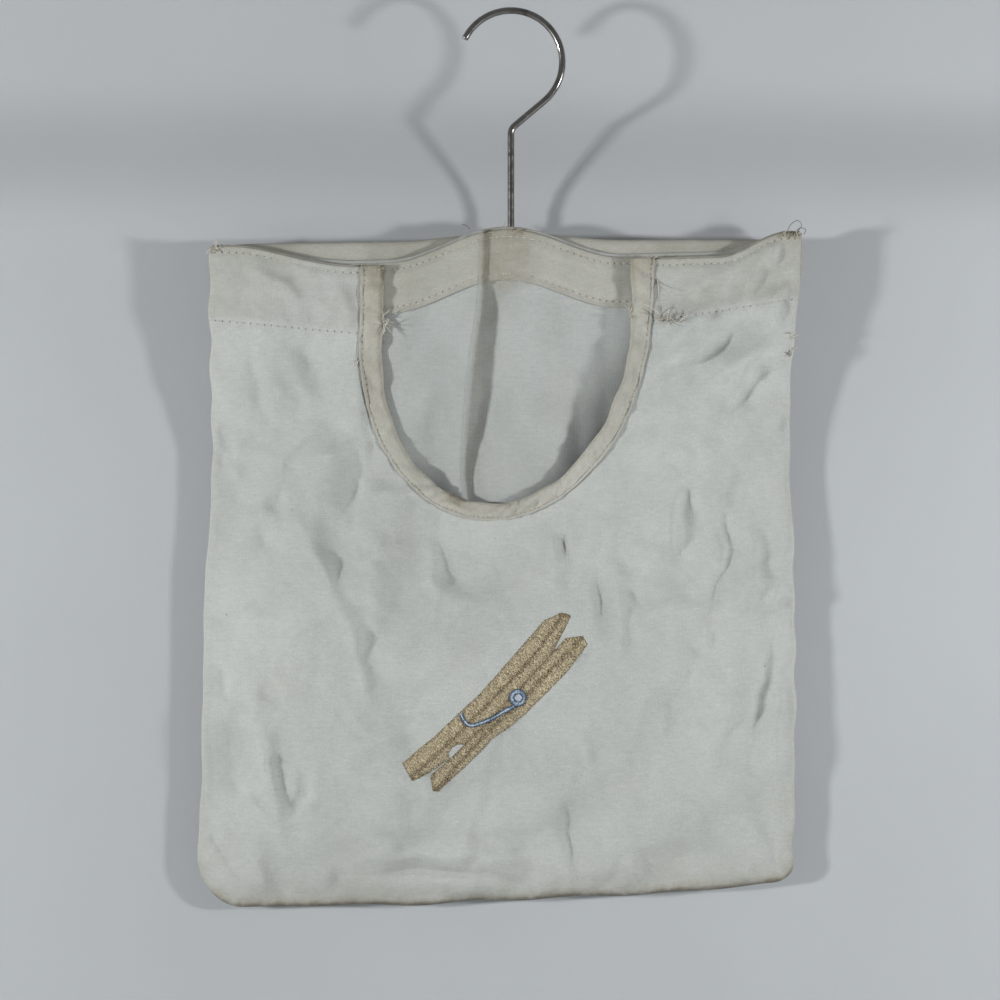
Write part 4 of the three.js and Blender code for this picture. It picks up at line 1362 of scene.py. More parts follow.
def lay_sheet(
    name: str,
    us: Array,
    vs: Array,
    shape: Callable[[Array, Array], Array],
    flat: Callable[[Array, Array], Array],
    thickness: float,
    drop: Callable[[Array, Array], Array] | None = None,
    marks: dict[str, Callable[[Array, Array], Array]] | None = None,
) -> Piece:
    """Lays a grid of cloth in its hanging shape and gives it its thickness.

    Args:
        name: Name of the piece.
        us: Places of its columns.
        vs: Places of its rows.
        shape: Points in mm for column and row places.
        flat: The same points on the flat cloth, mm.
        thickness: Thickness of the cloth, mm.
        drop: Says which points are cut away.
        marks: Numbers to keep on its points, by name.

    Returns:
        The piece.
    """
    obj = add_grid(len(us), len(vs))
    obj.name = obj.data.name = name
    mesh = obj.data
    start = np.empty(len(mesh.vertices) * 3)
    mesh.vertices.foreach_get("co", start)
    start = start.reshape(-1, 3)
    u = us[np.rint((start[:, 0] + 0.5) * (len(us) - 1)).astype(int)]
    v = vs[np.rint((start[:, 1] + 0.5) * (len(vs) - 1)).astype(int)]
    mesh.vertices.foreach_set("co", (shape(u, v) * MM).ravel())
    corners = np.empty(len(mesh.loops), int)
    mesh.loops.foreach_get("vertex_index", corners)
    mesh.uv_layers[0].name = "UVMap"
    mesh.uv_layers[0].data.foreach_set("uv", (flat(u, v) * MM)[corners].astype(np.float32).ravel())
    for mark, rule in (marks or {}).items():
        keep(mesh, mark, rule(u, v))
    if drop is not None:
        cut_faces(obj, drop(u, v)[corners].reshape(-1, 4).any(axis=1))
    thicken(obj, thickness)
    return obj


def cut_faces(obj: Piece, gone: Array) -> None:
    """Deletes the faces that are marked."""
    only(obj)
    mesh = obj.data
    bpy.context.tool_settings.mesh_select_mode = (False, False, True)
    mesh.vertices.foreach_set("select", np.zeros(len(mesh.vertices), bool))
    mesh.edges.foreach_set("select", np.zeros(len(mesh.edges), bool))
    mesh.polygons.foreach_set("select", gone)
    bpy.ops.object.mode_set(mode="EDIT")
    bpy.ops.mesh.delete(type="FACE")
    bpy.ops.object.mode_set(mode="OBJECT")


def thicken(obj: Piece, thickness: float) -> None:
    """Gives a sheet its thickness, half to each side, and smooth shading."""
    only(obj)
    solid = obj.modifiers.new("thickness", "SOLIDIFY")
    solid.thickness = thickness * MM
    solid.offset = 0.0
    bpy.ops.object.modifier_apply(modifier=solid.name)
    bpy.ops.object.shade_smooth()


def draw_threads(name: str, paths: Sequence[Array], radius: float, sides: int = 1,
                 tone_seed: int = 1) -> Piece:
    """Draws round threads or wire along paths.

    Args:
        name: Name of the piece.
        paths: Rows of x, y, z and, where the thickness changes, its share of the radius.
        radius: Radius, mm.
        sides: Roundness of the section.
        tone_seed: Seed of the threads' tones.

    Returns:
        The piece, as one mesh.
    """
    bpy.ops.object.select_all(action="DESELECT")
    bpy.ops.curve.primitive_nurbs_path_add()
    obj = active()
    curve = obj.data
    curve.splines.clear()
    for path in paths:
        spline = curve.splines.new("POLY")
        spline.points.add(len(path) - 1)
        place = np.ones((len(path), 4))
        place[:, :3] = path[:, :3] * MM
        spline.points.foreach_set("co", place.ravel())
        if path.shape[1] > 3:
            spline.points.foreach_set("radius", path[:, 3])
        spline.use_smooth = True
    curve.bevel_depth = radius * MM
    curve.bevel_resolution = sides
    curve.use_fill_caps = True
    curve.twist_mode = "MINIMUM"
    bpy.ops.object.convert(target="MESH")
    obj = active()
    obj.name = obj.data.name = name
    keep(obj.data, "tone", Ripple(tone_seed, 5, 0.25).at(np.arange(len(obj.data.vertices)) * 0.05, 0.0) + 0.5)
    bpy.ops.object.shade_smooth()
    return obj


class StitchShape:
    """One thread bead, modelled once as a long rounded shape and copied for every stitch."""

    def __init__(self, segments: int = 6, rings: int = 5, blunt: float = 0.55) -> None:
        """Models the bead, its length along X."""
        bpy.ops.object.select_all(action="DESELECT")
        bpy.ops.mesh.primitive_uv_sphere_add(segments=segments, ring_count=rings, radius=0.5)
        bead = active()
        co = np.array([v.co for v in bead.data.vertices])[:, [2, 0, 1]]
        round_ = np.linalg.norm(co[:, 1:], axis=1) * 2
        co[:, 1:] *= np.where(round_ > 1e-6, np.maximum(round_, 1e-6) ** (blunt - 1), 1.0)[:, None]
        self.points = co
        self.faces = [list(p.vertices) for p in bead.data.polygons]
        bpy.data.objects.remove(bead)

    def copies(self, name: str, centres: Array, frames: Array, sizes: Array, seed: int, bow: float = 0.0,
               tones: Array | None = None) -> Piece:
        """Copies the bead along a seam.

        Args:
            name: Name of the piece.
            centres: Middle of each stitch, mm.
            frames: Its length, width and height directions as columns.
            sizes: Its length, width and height, mm.
            seed: Seed of the stitches' tones.
            bow: How far its ends dip below its middle, as a share of its length.
            tones: Tone of each stitch, 0 to 1, or random ones.

        Returns:
            The piece, as one mesh.
        """
        local = self.points[None] * sizes[:, None, :]
        if bow:
            local[..., 2] -= bow * sizes[:, None, 0] * (2 * self.points[None, :, 0]) ** 2
        world = centres[:, None, :] + np.einsum("mij,mnj->mni", frames, local)
        count, size = len(centres), len(self.points)
        faces = [[i + k * size for i in face] for k in range(count) for face in self.faces]
        mesh = bpy.data.meshes.new(name)
        mesh.from_pydata((world.reshape(-1, 3) * MM).tolist(), [], faces)
        mesh.update()
        tones = np.random.default_rng(seed).uniform(0.1, 0.9, count) if tones is None else tones
        keep(mesh, "tone", np.repeat(tones, size))
        obj = bpy.data.objects.new(name, mesh)
        bpy.context.collection.objects.link(obj)
        only(obj)
        bpy.ops.object.shade_smooth()
        return obj


def frames_along(cloth: Cloth, x: Array, z: Array, dx: Array, dz: Array) -> Array:
    """Directions of stitches that lie on a sheet.

    Args:
        cloth: The sheet.
        x: Across places of the stitches.
        z: Their heights.
        dx: Across share of their direction.
        dz: Upward share of it.

    Returns:
        Length, width and height directions as the columns of one matrix each.
    """
    n = cloth.normals(x, z)
    t = np.stack([dx, np.zeros_like(dx), dz], axis=-1)
    t = t - n * np.sum(t * n, axis=-1, keepdims=True)
    t /= np.linalg.norm(t, axis=-1, keepdims=True)
    return np.stack([t, np.cross(n, t), n], axis=-1)


def sew(name: str, shape: StitchShape, cloth: Cloth, line: Array, pitch: float, size: Sequence[float],
        lift: float, seed: int) -> Piece:
    """Sews a line of stitches onto a sheet.

    Args:
        name: Name of the piece.
        shape: The stitch.
        cloth: The sheet.
        line: Rows of (x, z) that the line follows.
        pitch: Length from one stitch to the next, mm.
        size: Length, width and height of a stitch, mm.
        lift: Height of the stitches' middle over the sheet, mm.
        seed: Seed of their unevenness.

    Returns:
        The piece.
    """
    rng = np.random.default_rng(seed)
    run = arc_length(line)
    at = np.arange(0.5 * pitch, run[-1], pitch)
    x, z = np.interp(at, run, line[:, 0]), np.interp(at, run, line[:, 1])
    ahead = np.interp(at + 0.4, run, line[:, 0]) - x, np.interp(at + 0.4, run, line[:, 1]) - z
    turn = rng.normal(0, 0.06, len(at))
    dx = ahead[0] * np.cos(turn) - ahead[1] * np.sin(turn)
    dz = ahead[0] * np.sin(turn) + ahead[1] * np.cos(turn)
    sizes = np.array(size)[None] * rng.uniform(0.86, 1.1, (len(at), 3))
    return shape.copies(name, cloth.points(x, z, lift), frames_along(cloth, x, z, dx, dz), sizes, seed, 0.05)


def edge_steps(count: int, fine: float) -> Array:
    """Places from 0 to 1 that crowd together at both ends.

    Args:
        count: Number of places.
        fine: Share of even spacing that is left at the ends.

    Returns:
        The places.
    """
    t = np.linspace(0, 1, count)
    return t - (1 - fine) * np.sin(2 * np.pi * t) / (2 * np.pi) * np.exp(-np.minimum(t, 1 - t) * 9)


# Marks of a sheet that shows no sewn line.
UNSEWN = {"sewn_gap": lambda u, v: np.full(u.shape, 9.0), "sewn_run": lambda u, v: u * 0}

# Spacing of the hem stitches, mm.
HEM_PITCH = 3.5


class BackLayer:
    """The back of the bag and the facing inside its top edge."""

    # Distance from the top edge down to the facing, mm.
    turned_in = 1.7

    def __init__(self, cloth: BackCloth, stitch: StitchShape) -> None:
        """Keeps the sheet and the stitch."""
        self.cloth = cloth
        self.form = cloth.form
        self.stitch = stitch

    def spot(self, u: Array, v: Array) -> tuple[Array, Array]:
        """Hanging place of a share across and a share up the back."""
        return self.cloth.hang.settled(*self.form.spot(u, v, self.form.back_top))

    def build(self) -> list[Piece]:
        """Lays the back and its facing and sews them.

        Returns:
            The pieces.
        """
        form, cloth = self.form, self.cloth

        def shape(u: Array, v: Array) -> Array:
            """Points of the back."""
            return cloth.points(*self.spot(u, v))

        def flat(u: Array, v: Array) -> Array:
            """The back laid flat."""
            return np.stack(self.spot(u, v), axis=-1)

        def soil_and_shade(u: Array, v: Array) -> Array:
            """Dirt along the bottom and the top edge, and the painted shadow and stain beside the lap."""
            ends = 0.55 * ease(1 - v / 0.035) + 0.35 * ease(1 - (1 - v) / 0.03)
            return ends + cloth.lap_shadow_and_stain(*self.spot(u, v))

        lap = 0.5 + np.linspace(-34, 0, 46) / (2 * form.half_width)
        across = edge_steps(160, 0.25)
        across = np.sort(np.concatenate([across[(across < lap[0]) | (across > lap[-1])], lap]))
        panel = lay_sheet("back_cloth", across, edge_steps(190, 0.3), shape, flat, form.cloth,
                          marks={"soil_and_shade": soil_and_shade, **UNSEWN})
        publish(panel, Finish.BACK, nodes=["back_panel"])

        over = Offset(cloth, form.layer)

        def facing_level(u: Array, v: Array) -> tuple[Array, Array]:
            """Level place on the facing."""
            x = (2 * u - 1) * (form.half_width - 0.8)
            turned_in = self.turned_in * (1 - 0.8 * ease((np.abs(x) - 120) / 25))
            return x, form.back_top(x) - turned_in - (1 - v) * form.back_facing

        def facing_soil_and_shade(u: Array, v: Array) -> Array:
            """Dirt along the facing's two edges, and the painted shadow and stain beside the lap."""
            edges = 0.35 * ease(1 - (1 - v) / 0.2) + 0.25 * ease(1 - v / 0.1)
            return edges + cloth.lap_shadow_and_stain(*cloth.hang.settled(*facing_level(u, v)))

        def gap(u: Array, v: Array) -> Array:
            """Distance from the nearer of its two sewn lines."""
            down = (1 - v) * form.back_facing + self.turned_in
            up = form.back_facing - form.back_hem_line
            return np.where(down < 13, down - form.back_edge_line, down - up)

        facing = lay_sheet(
            "back_facing_cloth", np.linspace(0, 1, 380), edge_steps(26, 0.4),
            lambda u, v: over.points(*cloth.hang.settled(*facing_level(u, v))),
            lambda u, v: np.stack(facing_level(u, v), axis=-1), form.cloth,
            marks={"soil_and_shade": facing_soil_and_shade, "sewn_gap": gap, "sewn_run": lambda u, v: facing_level(u, v)[0]},
        )
        publish(facing, Finish.FACING, nodes=["back_facing"])
        made = [panel, facing]
        xs = np.linspace(-118, 118, 300)
        hem = form.back_facing - form.back_hem_line
        for kind, down, seed in (("edge", form.back_edge_line, 101), ("hem", hem, 103)):
            line = np.column_stack(cloth.hang.settled(xs, form.back_top(xs) - down))
            sewn = sew(f"back_{kind}_stitches", self.stitch, over, line, HEM_PITCH,
                       (2.9, 0.5, 0.42), 0.42, seed)
            made.append(publish(sewn, Finish.SEWING))
        return made


class FrontLayer:
    """The front of the bag with its mouth, and the two facings inside its top edges."""

    def __init__(self, cloth: FrontCloth, stitch: StitchShape) -> None:
        """Keeps the sheet and the stitch."""
        self.cloth = cloth
        self.form = cloth.form
        self.stitch = stitch

    def level_spot(self, u: Array, v: Array) -> tuple[Array, Array]:
        """Level place of a share across and a share up the front."""
        return self.form.spot(u, v, self.form.front_top)

    def hem_gap(self, x: Array, z: Array) -> Array:
        """Distance of level points from the nearer of the top edge's two sewn lines."""
        down = self.form.front_top(x) - z
        gap = np.where(down < 17, down - self.form.front_edge_line, self.form.hem_z(x) - z)
        return np.where(np.abs(x) < self.form.mouth_outer - 4, 9.0, gap)

    def build(self) -> list[Piece]:
        """Lays the front and its facings and sews them.

        Returns:
            The pieces.
        """
        form, cloth = self.form, self.cloth
        hang = cloth.hang

        def shape(u: Array, v: Array) -> Array:
            """Points of the front."""
            return cloth.points(*hang.settled(*self.level_spot(u, v)))

        def soil_and_shade(u: Array, v: Array) -> Array:
            """Dirt along the bottom, the sides, the top edges and the hem; where the bottom edge rolls under,
            it also stands for painted shade.
            """
            x, z = self.level_spot(u, v)
            inset = form.inset(x, z)
            top = form.front_top(x) - z
            low = np.exp(-np.maximum(z - form.bottom_z, 0) / 15)
            worn = (0.22 + 1.1 * low) * np.exp(-np.maximum(inset, 0) / 3.4) + 0.42 * low
            off_corner = np.hypot(form.half_width - np.abs(x), 2.5 * top)
            corner = np.where(x > 0, 0.75, 0.25) * np.exp(-off_corner / 11)
            edge = 0.35 * np.exp(-np.maximum(top, 0) / 2.2)
            return worn + corner + edge + 0.32 * ease((z - form.hem_z(x)) / 3)

        def crease(u: Array, v: Array) -> Array:
            """How deep each point lies in the bottom of a crease, which sets the painted shade there."""
            level = self.level_spot(u, v)
            x, z = hang.settled(*level)
            around = ((3, 0), (-3, 0), (0, 4), (0, -4))
            beside = sum(cloth.creases(x + dx, z + dz, *level) for dx, dz in around) / len(around)
            return np.clip((beside - cloth.creases(x, z, *level)) / 0.7, 0, 1)

        panel = lay_sheet(
            "front_cloth", edge_steps(214, 0.25), edge_steps(232, 0.3), shape,
            lambda u, v: np.stack(self.level_spot(u, v), axis=-1), form.cloth,
            drop=lambda u, v: form.mouth_grow(*self.level_spot(u, v)) < 5.0,
            marks={"soil_and_shade": soil_and_shade, "crease": crease,
                   "sewn_gap": lambda u, v: self.hem_gap(*self.level_spot(u, v)),
                   "sewn_run": lambda u, v: self.level_spot(u, v)[0]},
        )
        publish(panel, Finish.FRONT, nodes=["front_panel"])
        made = [panel]
        under = Offset(cloth, -form.layer)
        for side, sign in (("left", -1), ("right", 1)):
            inner, outer = form.mouth_outer + 0.4, form.half_width - 1.2

            def facing_level(u: Array, v: Array) -> tuple[Array, Array]:
                """Level place on this side's facing."""
                x = sign * (inner + (outer - inner) * np.where(sign > 0, u, 1 - u))
                low = form.hem_z(x) - 1.5
                return x, low + v * (form.front_top(x) + 0.9 - low)

            facing = lay_sheet(
                f"front_facing_cloth_{side}", np.linspace(0, 1, 54), np.linspace(0, 1, 26),
                lambda u, v: under.points(*hang.settled(*facing_level(u, v))),
                lambda u, v: np.stack(facing_level(u, v), axis=-1), form.cloth,
                marks={"soil_and_shade": lambda u, v: 0.3 * ease(1 - (1 - v) / 0.1), **UNSEWN},
            )
            publish(facing, Finish.FACING, nodes=[f"front_facing_{side}"])
            made.append(facing)
            xs = np.sort(sign * np.linspace(form.mouth_outer + 0.8, form.half_width - 3, 160))
            edge = form.front_top(xs) - form.front_edge_line
            for kind, height, seed in (("edge", edge, 111), ("hem", form.hem_z(xs), 117)):
                line = np.column_stack(hang.settled(xs, height))
                sewn = sew(f"front_{kind}_stitches_{side}", self.stitch, cloth, line, HEM_PITCH,
                           (2.8, 0.52, 0.44), 0.40, seed + sign)
                made.append(publish(sewn, Finish.SEWING))
        return made


class MouthBinding:
    """Cream tape folded over the cut edge of the mouth and sewn through near its outer edge."""

    def __init__(self, cloth: FrontCloth, stitch: StitchShape) -> None:
        """Keeps the sheet that it binds and the stitch."""
        self.cloth = cloth
        self.form = cloth.form
        self.stitch = stitch
        self.length = 330.0
        self.width = 26
        self.sewn_at = 10.6

    def section(self, v: Array) -> tuple[Array, Array]:
        """The tape's section: from the front's outer edge, round the fold, to the back's outer edge.

        Args:
            v: Share of the way round.

        Returns:
            Distance outwards from the fold, and height in front of the panel's middle, mm.
        """
        around = np.array([0.0, 0.04, 0.10, 0.20, 0.32, 0.42, 0.47, 0.5, 0.53, 0.58, 0.70, 0.85, 1.0])
        outward = np.array([12.7, 11.9, 10.9, 8.6, 5.2, 2.0, 0.6, 0.0, 0.5, 2.0, 5.4, 9.4, 12.5])
        height = np.array([1.05, 1.30, 0.95, 1.75, 2.20, 2.05, 1.35, 0.1, -0.8, -1.20, -1.15, -1.0, -0.85])
        return np.interp(v, around, outward), np.interp(v, around, height)

    def surface(self, share: Array, outward: Array, height: Array) -> Array:
        """Points of the tape in mm.

        Args:
            share: Place along the mouth.
            outward: Distance outwards from the fold.
            height: Height in front of the panel.

        Returns:
            The points.
        """
        form = self.form
        run = share * self.length
        bent = 0.45 + 0.55 * hump((share - 0.5) / 0.36)
        swing = Ripple(213, 30, 1.5).at(run, run * 0)
        pleats = 0.65 * bent * np.sin(run / 1.8 + outward * 0.6 + swing)
        puff = Ripple(211, 10, 0.40).at(run, outward * 0.8) + pleats
        grown = height + np.sign(height) * puff * ease(np.abs(height) - 0.7) * 0.8
        wobble = Ripple(223, 26, 0.35).at(run, outward * 0.2) * ease((13.2 - outward) / 5)
        narrow = 0.95 - 0.28 * hump((share - 0.5) / 0.5) - 0.15 * hump((share - 0.82) / 0.24)
        x, z = form.mouth_point(share, form.tape - (form.tape - outward) * narrow + wobble)
        return self.cloth.points(*self.cloth.hang.settled(x, z), grown)

    def build(self) -> list[Piece]:
        """Folds the tape round the mouth, sews it and tacks its two ends.

        Returns:
            The pieces.
        """
        def shape(u: Array, v: Array) -> Array:
            """Points of the tape."""
            return self.surface(u, *self.section(v))

        def soil_and_shade(u: Array, v: Array) -> Array:
            """Dirt at the two ends and a brown patch inside near the bottom; darker along the fold, over the
            left half and at the bottom.
            """
            ends = np.exp(-np.minimum(u, 1 - u) * self.length / 14)
            fold = 0.35 * np.exp(-(((v - 0.47) / 0.05) ** 2))
            low = 0.25 * hump((u - 0.5) / 0.2) + 0.4 * ease(1 - 2 * u)
            return 0.8 * ends + fold + low + 0.9 * hump((u - 0.43) / 0.05) * ease((v - 0.22) / 0.1)

        rows = np.unique(np.concatenate([np.linspace(0, 0.12, 7), np.linspace(0.12, 0.42, 14),
                                         np.linspace(0.42, 0.58, 13), np.linspace(0.58, 1, 12)]))
        tape = lay_sheet(
            "mouth_tape", np.linspace(0, 1, 420), rows, shape,
            lambda u, v: np.stack([u * self.length, v * self.width], axis=-1), 0.6,
            marks={"soil_and_shade": soil_and_shade,
                   "sewn_gap": lambda u, v: np.where(v < 0.3, self.section(v)[0] - self.sewn_at, 9.0),
                   "sewn_run": lambda u, v: u * self.length},
        )
        publish(tape, Finish.TAPE, nodes=["mouth_binding"])
        made = [tape, self.line_of_stitches(), self.end_tacks()]
        return made

    def frames(self, places: Array, ahead: Array) -> Array:
        """Directions of stitches on the tape.

        Args:
            places: Middle of each stitch, mm.
            ahead: A step along it.

        Returns:
            Length, width and height directions as the columns of one matrix each.
        """
        t = ahead / np.linalg.norm(ahead, axis=1, keepdims=True)
        n = self.cloth.normals(places[:, 0], places[:, 2])
        n = n - t * np.sum(n * t, axis=1, keepdims=True)
        n /= np.linalg.norm(n, axis=1, keepdims=True)
        return np.stack([t, np.cross(n, t), n], axis=-1)

    def line_of_stitches(self) -> Piece:
        """Sews the tape through, along the whole mouth."""
        share = np.linspace(0.006, 0.994, 130)
        at, height = np.full(share.shape, self.sewn_at), np.full(share.shape, 1.15)
        middle = self.surface(share, at, height)
        rng = np.random.default_rng(227)
        step = self.surface(share + 0.001, at, height) - middle
        sizes = np.array([2.15, 0.5, 0.42])[None] * rng.uniform(0.85, 1.1, (len(share), 3))
        sewn = self.stitch.copies("binding_stitches", middle, self.frames(middle, step), sizes, 227, 0.05)
        return publish(sewn, Finish.SEWING)

    def end_tacks(self) -> Piece:
        """Sews each end of the tape across, with stitches that step to and fro."""
        ends = np.array([(end + inward * (k % 2), out) for end, inward in ((0.004, 0.004), (0.996, -0.004))
                         for k, out in enumerate(np.linspace(1.2, 12.0, 7))])
        lift = np.interp(ends[:, 1], [0, 2, 5, 9, 11, 12.7], [1.5, 2.35, 2.55, 1.95, 1.35, 1.25])
        place = self.surface(ends[:, 0], ends[:, 1], lift)
        across = self.surface(ends[:, 0], ends[:, 1] + 0.4, lift) - place
        tacks = self.stitch.copies("binding_end_stitches", place, self.frames(place, across),
                                   np.tile([1.5, 0.55, 0.45], (len(ends), 1)), 229, 0.05)
        return publish(tacks, Finish.OVERCAST)


class Sleeve:
    """The cloth sleeve that the hanger bar lies in, closed at its ends and slit for the hook."""

    def __init__(self, form: BagForm) -> None:
        """Keeps the bag's sizes."""
        self.form = form

    def build(self) -> list[Piece]:
        """Wraps the sleeve round the bar.

        Returns:
            The piece.
        """
        form = self.form
        wrinkle, soft = Ripple(301, 16, 0.16, 0.5), Ripple(303, 46, 0.22, 0.6)

        def shape(u: Array, v: Array) -> Array:
            """Points of the sleeve."""
            x = (2 * u - 1) * form.half_width
            end = ease((np.abs(x) - form.bar_high[0] - 1) / (form.half_width - form.bar_high[0] - 2))
            turn = v * 2 * np.pi - 0.5 * np.pi
            top = form.bar_top(x) + 1.15
            low = form.bar_top(x) - 4.0 * hump(x / form.crown_spread) - 14 - 1.3
            thick = (6.55 + 0.15 * np.abs(np.sin(turn))) * (1 - end) + 0.8 * end
            tall = (top - low) / 2 * (1 - 0.10 * end)
            ripple = (wrinkle.at(x, turn * 8) + soft.at(x, turn * 8)) * (0.25 + 0.75 * end)
            y = -np.sign(np.cos(turn)) * np.abs(np.cos(turn)) ** 0.42 * (thick + np.minimum(ripple, 0.1))
            z = np.sign(np.sin(turn)) * np.abs(np.sin(turn)) ** 0.5 * (tall + np.maximum(ripple, -0.1) * 0.5)
            lift = 0.016 * np.maximum(x, 0) * ease((x - 10) / 60) * (0.5 + 0.5 * np.sin(turn))
            return np.stack([x - 1.5 * end * np.sign(x), y - 5.0 * end, (top + low) / 2 + z + lift], axis=-1)

        def slit(u: Array, v: Array) -> Array:
            """The cut in the top that the hook stands in."""
            x = (2 * u - 1) * form.half_width
            return (np.abs(x) < 3.2) & (np.abs(v - 0.5) < 0.055)

        def soil_and_shade(u: Array, v: Array) -> Array:
            """Dirt along the top and at the two ends."""
            return 0.35 * hump((v - 0.5) / 0.14) + 0.5 * ease((np.abs(2 * u - 1) - 0.93) / 0.07)

        sleeve = lay_sheet(
            "bar_sleeve", np.linspace(0, 1, 300), np.linspace(0, 1, 61), shape,
            lambda u, v: np.stack([(2 * u - 1) * form.half_width, v * 56], axis=-1), 0.6, drop=slit,
            marks={"soil_and_shade": soil_and_shade, **UNSEWN},
        )
        publish(sleeve, Finish.SLEEVE, nodes=["hanger_sleeve"])
        return [sleeve]


class SeamAllowance:
    """The turned-in edges of front and back, sewn together inside the bag."""

    def __init__(self, front: FrontCloth, back: BackCloth) -> None:
        """Keeps the two sheets that it lies between."""
        self.front = front
        self.back = back
        self.form = front.form
        self.width = 10.0

    def build(self) -> list[Piece]:
        """Lays the strip down one side, along the bottom and up the other.

        Returns:
            The piece.
        """
        form = self.form
        top = form.corner_z - 40
        halves = []
        for sign, radius, steps in ((-1, form.left_round, 10), (1, form.right_round, 8)):
            side = [(sign * form.half_at(z), z) for z in np.linspace(top, form.bottom_z + radius, 60)]
            corner = [(sign * (form.half_at(form.bottom_z) - radius * (1 - math.cos(a))),
                       form.bottom_z + radius * (1 - math.sin(a)))
                      for a in np.linspace(0.1, math.pi / 2, steps)]
            halves.append(side + corner)
        rim = np.array(halves[0] + halves[1][::-1])
        run = arc_length(rim)

        def shape(u: Array, v: Array) -> Array:
            """Points of the strip, midway between front and back."""
            at = u * run[-1]
            x, z = np.interp(at, run, rim[:, 0]), np.interp(at, run, rim[:, 1])
            ax, az = (np.interp(at + 1, run, c) - np.interp(at - 1, run, c) for c in rim.T)
            size = np.hypot(ax, az)
            deep = 3.2 + v * self.width
            hx, hz = self.front.hang.settled(x - az / size * deep, z + ax / size * deep)
            y = 0.5 * (self.front.depth(hx, hz) + self.back.depth(hx, hz))
            return np.stack([hx, y, hz], axis=-1)

        strip = lay_sheet(
            "seam_strip", np.linspace(0, 1, 260), np.linspace(0, 1, 5), shape,
            lambda u, v: np.stack([u * run[-1], v * self.width], axis=-1), 0.5,
            marks={"soil_and_shade": lambda u, v: u * 0 + 0.2, "sewn_gap": lambda u, v: (v - 0.1) * self.width,
                   "sewn_run": lambda u, v: u * run[-1]},
        )
        publish(strip, Finish.BACK, nodes=["seam_allowance"])
        return [strip]


@dataclass
class Hook:
    """The question-mark hook of bright wire, with a headed end under the bar."""

    wire: float = 1.75
    inner: float = 24.6
    tip: float = math.radians(153)
    leave: float = math.radians(-50)
    neck: float = 6.0
    head: float = 3.0
    head_height: float = 2.2

    def path(self) -> Array:
        """Centre line of the wire with its share of the radius, mm."""
        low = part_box("hook")[0].z / MM
        r = self.inner + self.wire
        turn = np.linspace(self.tip, self.leave, 110)
        arc = np.column_stack([r * np.cos(turn), -self.inner + r * np.sin(turn)])
        heading = np.array([math.sin(self.leave), -math.cos(self.leave)])
        corner = arc[-1] + heading * (arc[-1][0] / -heading[0])
        cut = self.neck * math.tan(-self.leave / 2)
        bend_in, bend_out = corner - heading * cut, corner + np.array([0, -cut])
        t = np.linspace(0, 1, 16)[:, None]
        bend = (1 - t) ** 2 * bend_in + 2 * t * (1 - t) * corner + t**2 * bend_out
        straight = np.column_stack([np.zeros(24), np.linspace(bend_out[1] - 1, low + self.head_height, 24)])
        line = np.vstack([arc, bend, straight])
        path = np.column_stack([line[:, 0], np.zeros(len(line)), line[:, 1], np.ones(len(line))])
        back = path[0] - 0.35 * (path[1] - path[0]) / np.linalg.norm(path[1] - path[0])
        path = np.vstack([[*back[:3], 0.80], path])
        share = self.head / self.wire
        under = low + self.head_height
        head = [(0, 0, under - 0.02, share * 0.9), (0, 0, under - 0.3, share), (0, 0, low + 0.35, share),
                (0, 0, low, share * 0.85)]
        return np.vstack([path, head])

    def build(self) -> list[Piece]:
        """Bends the wire.

        Returns:
            The piece.
        """
        wire = draw_threads("hook_wire", [self.path()], self.wire, 7)
        return [publish(wire, Finish.STEEL, Body.HOOK, ["hook"])]


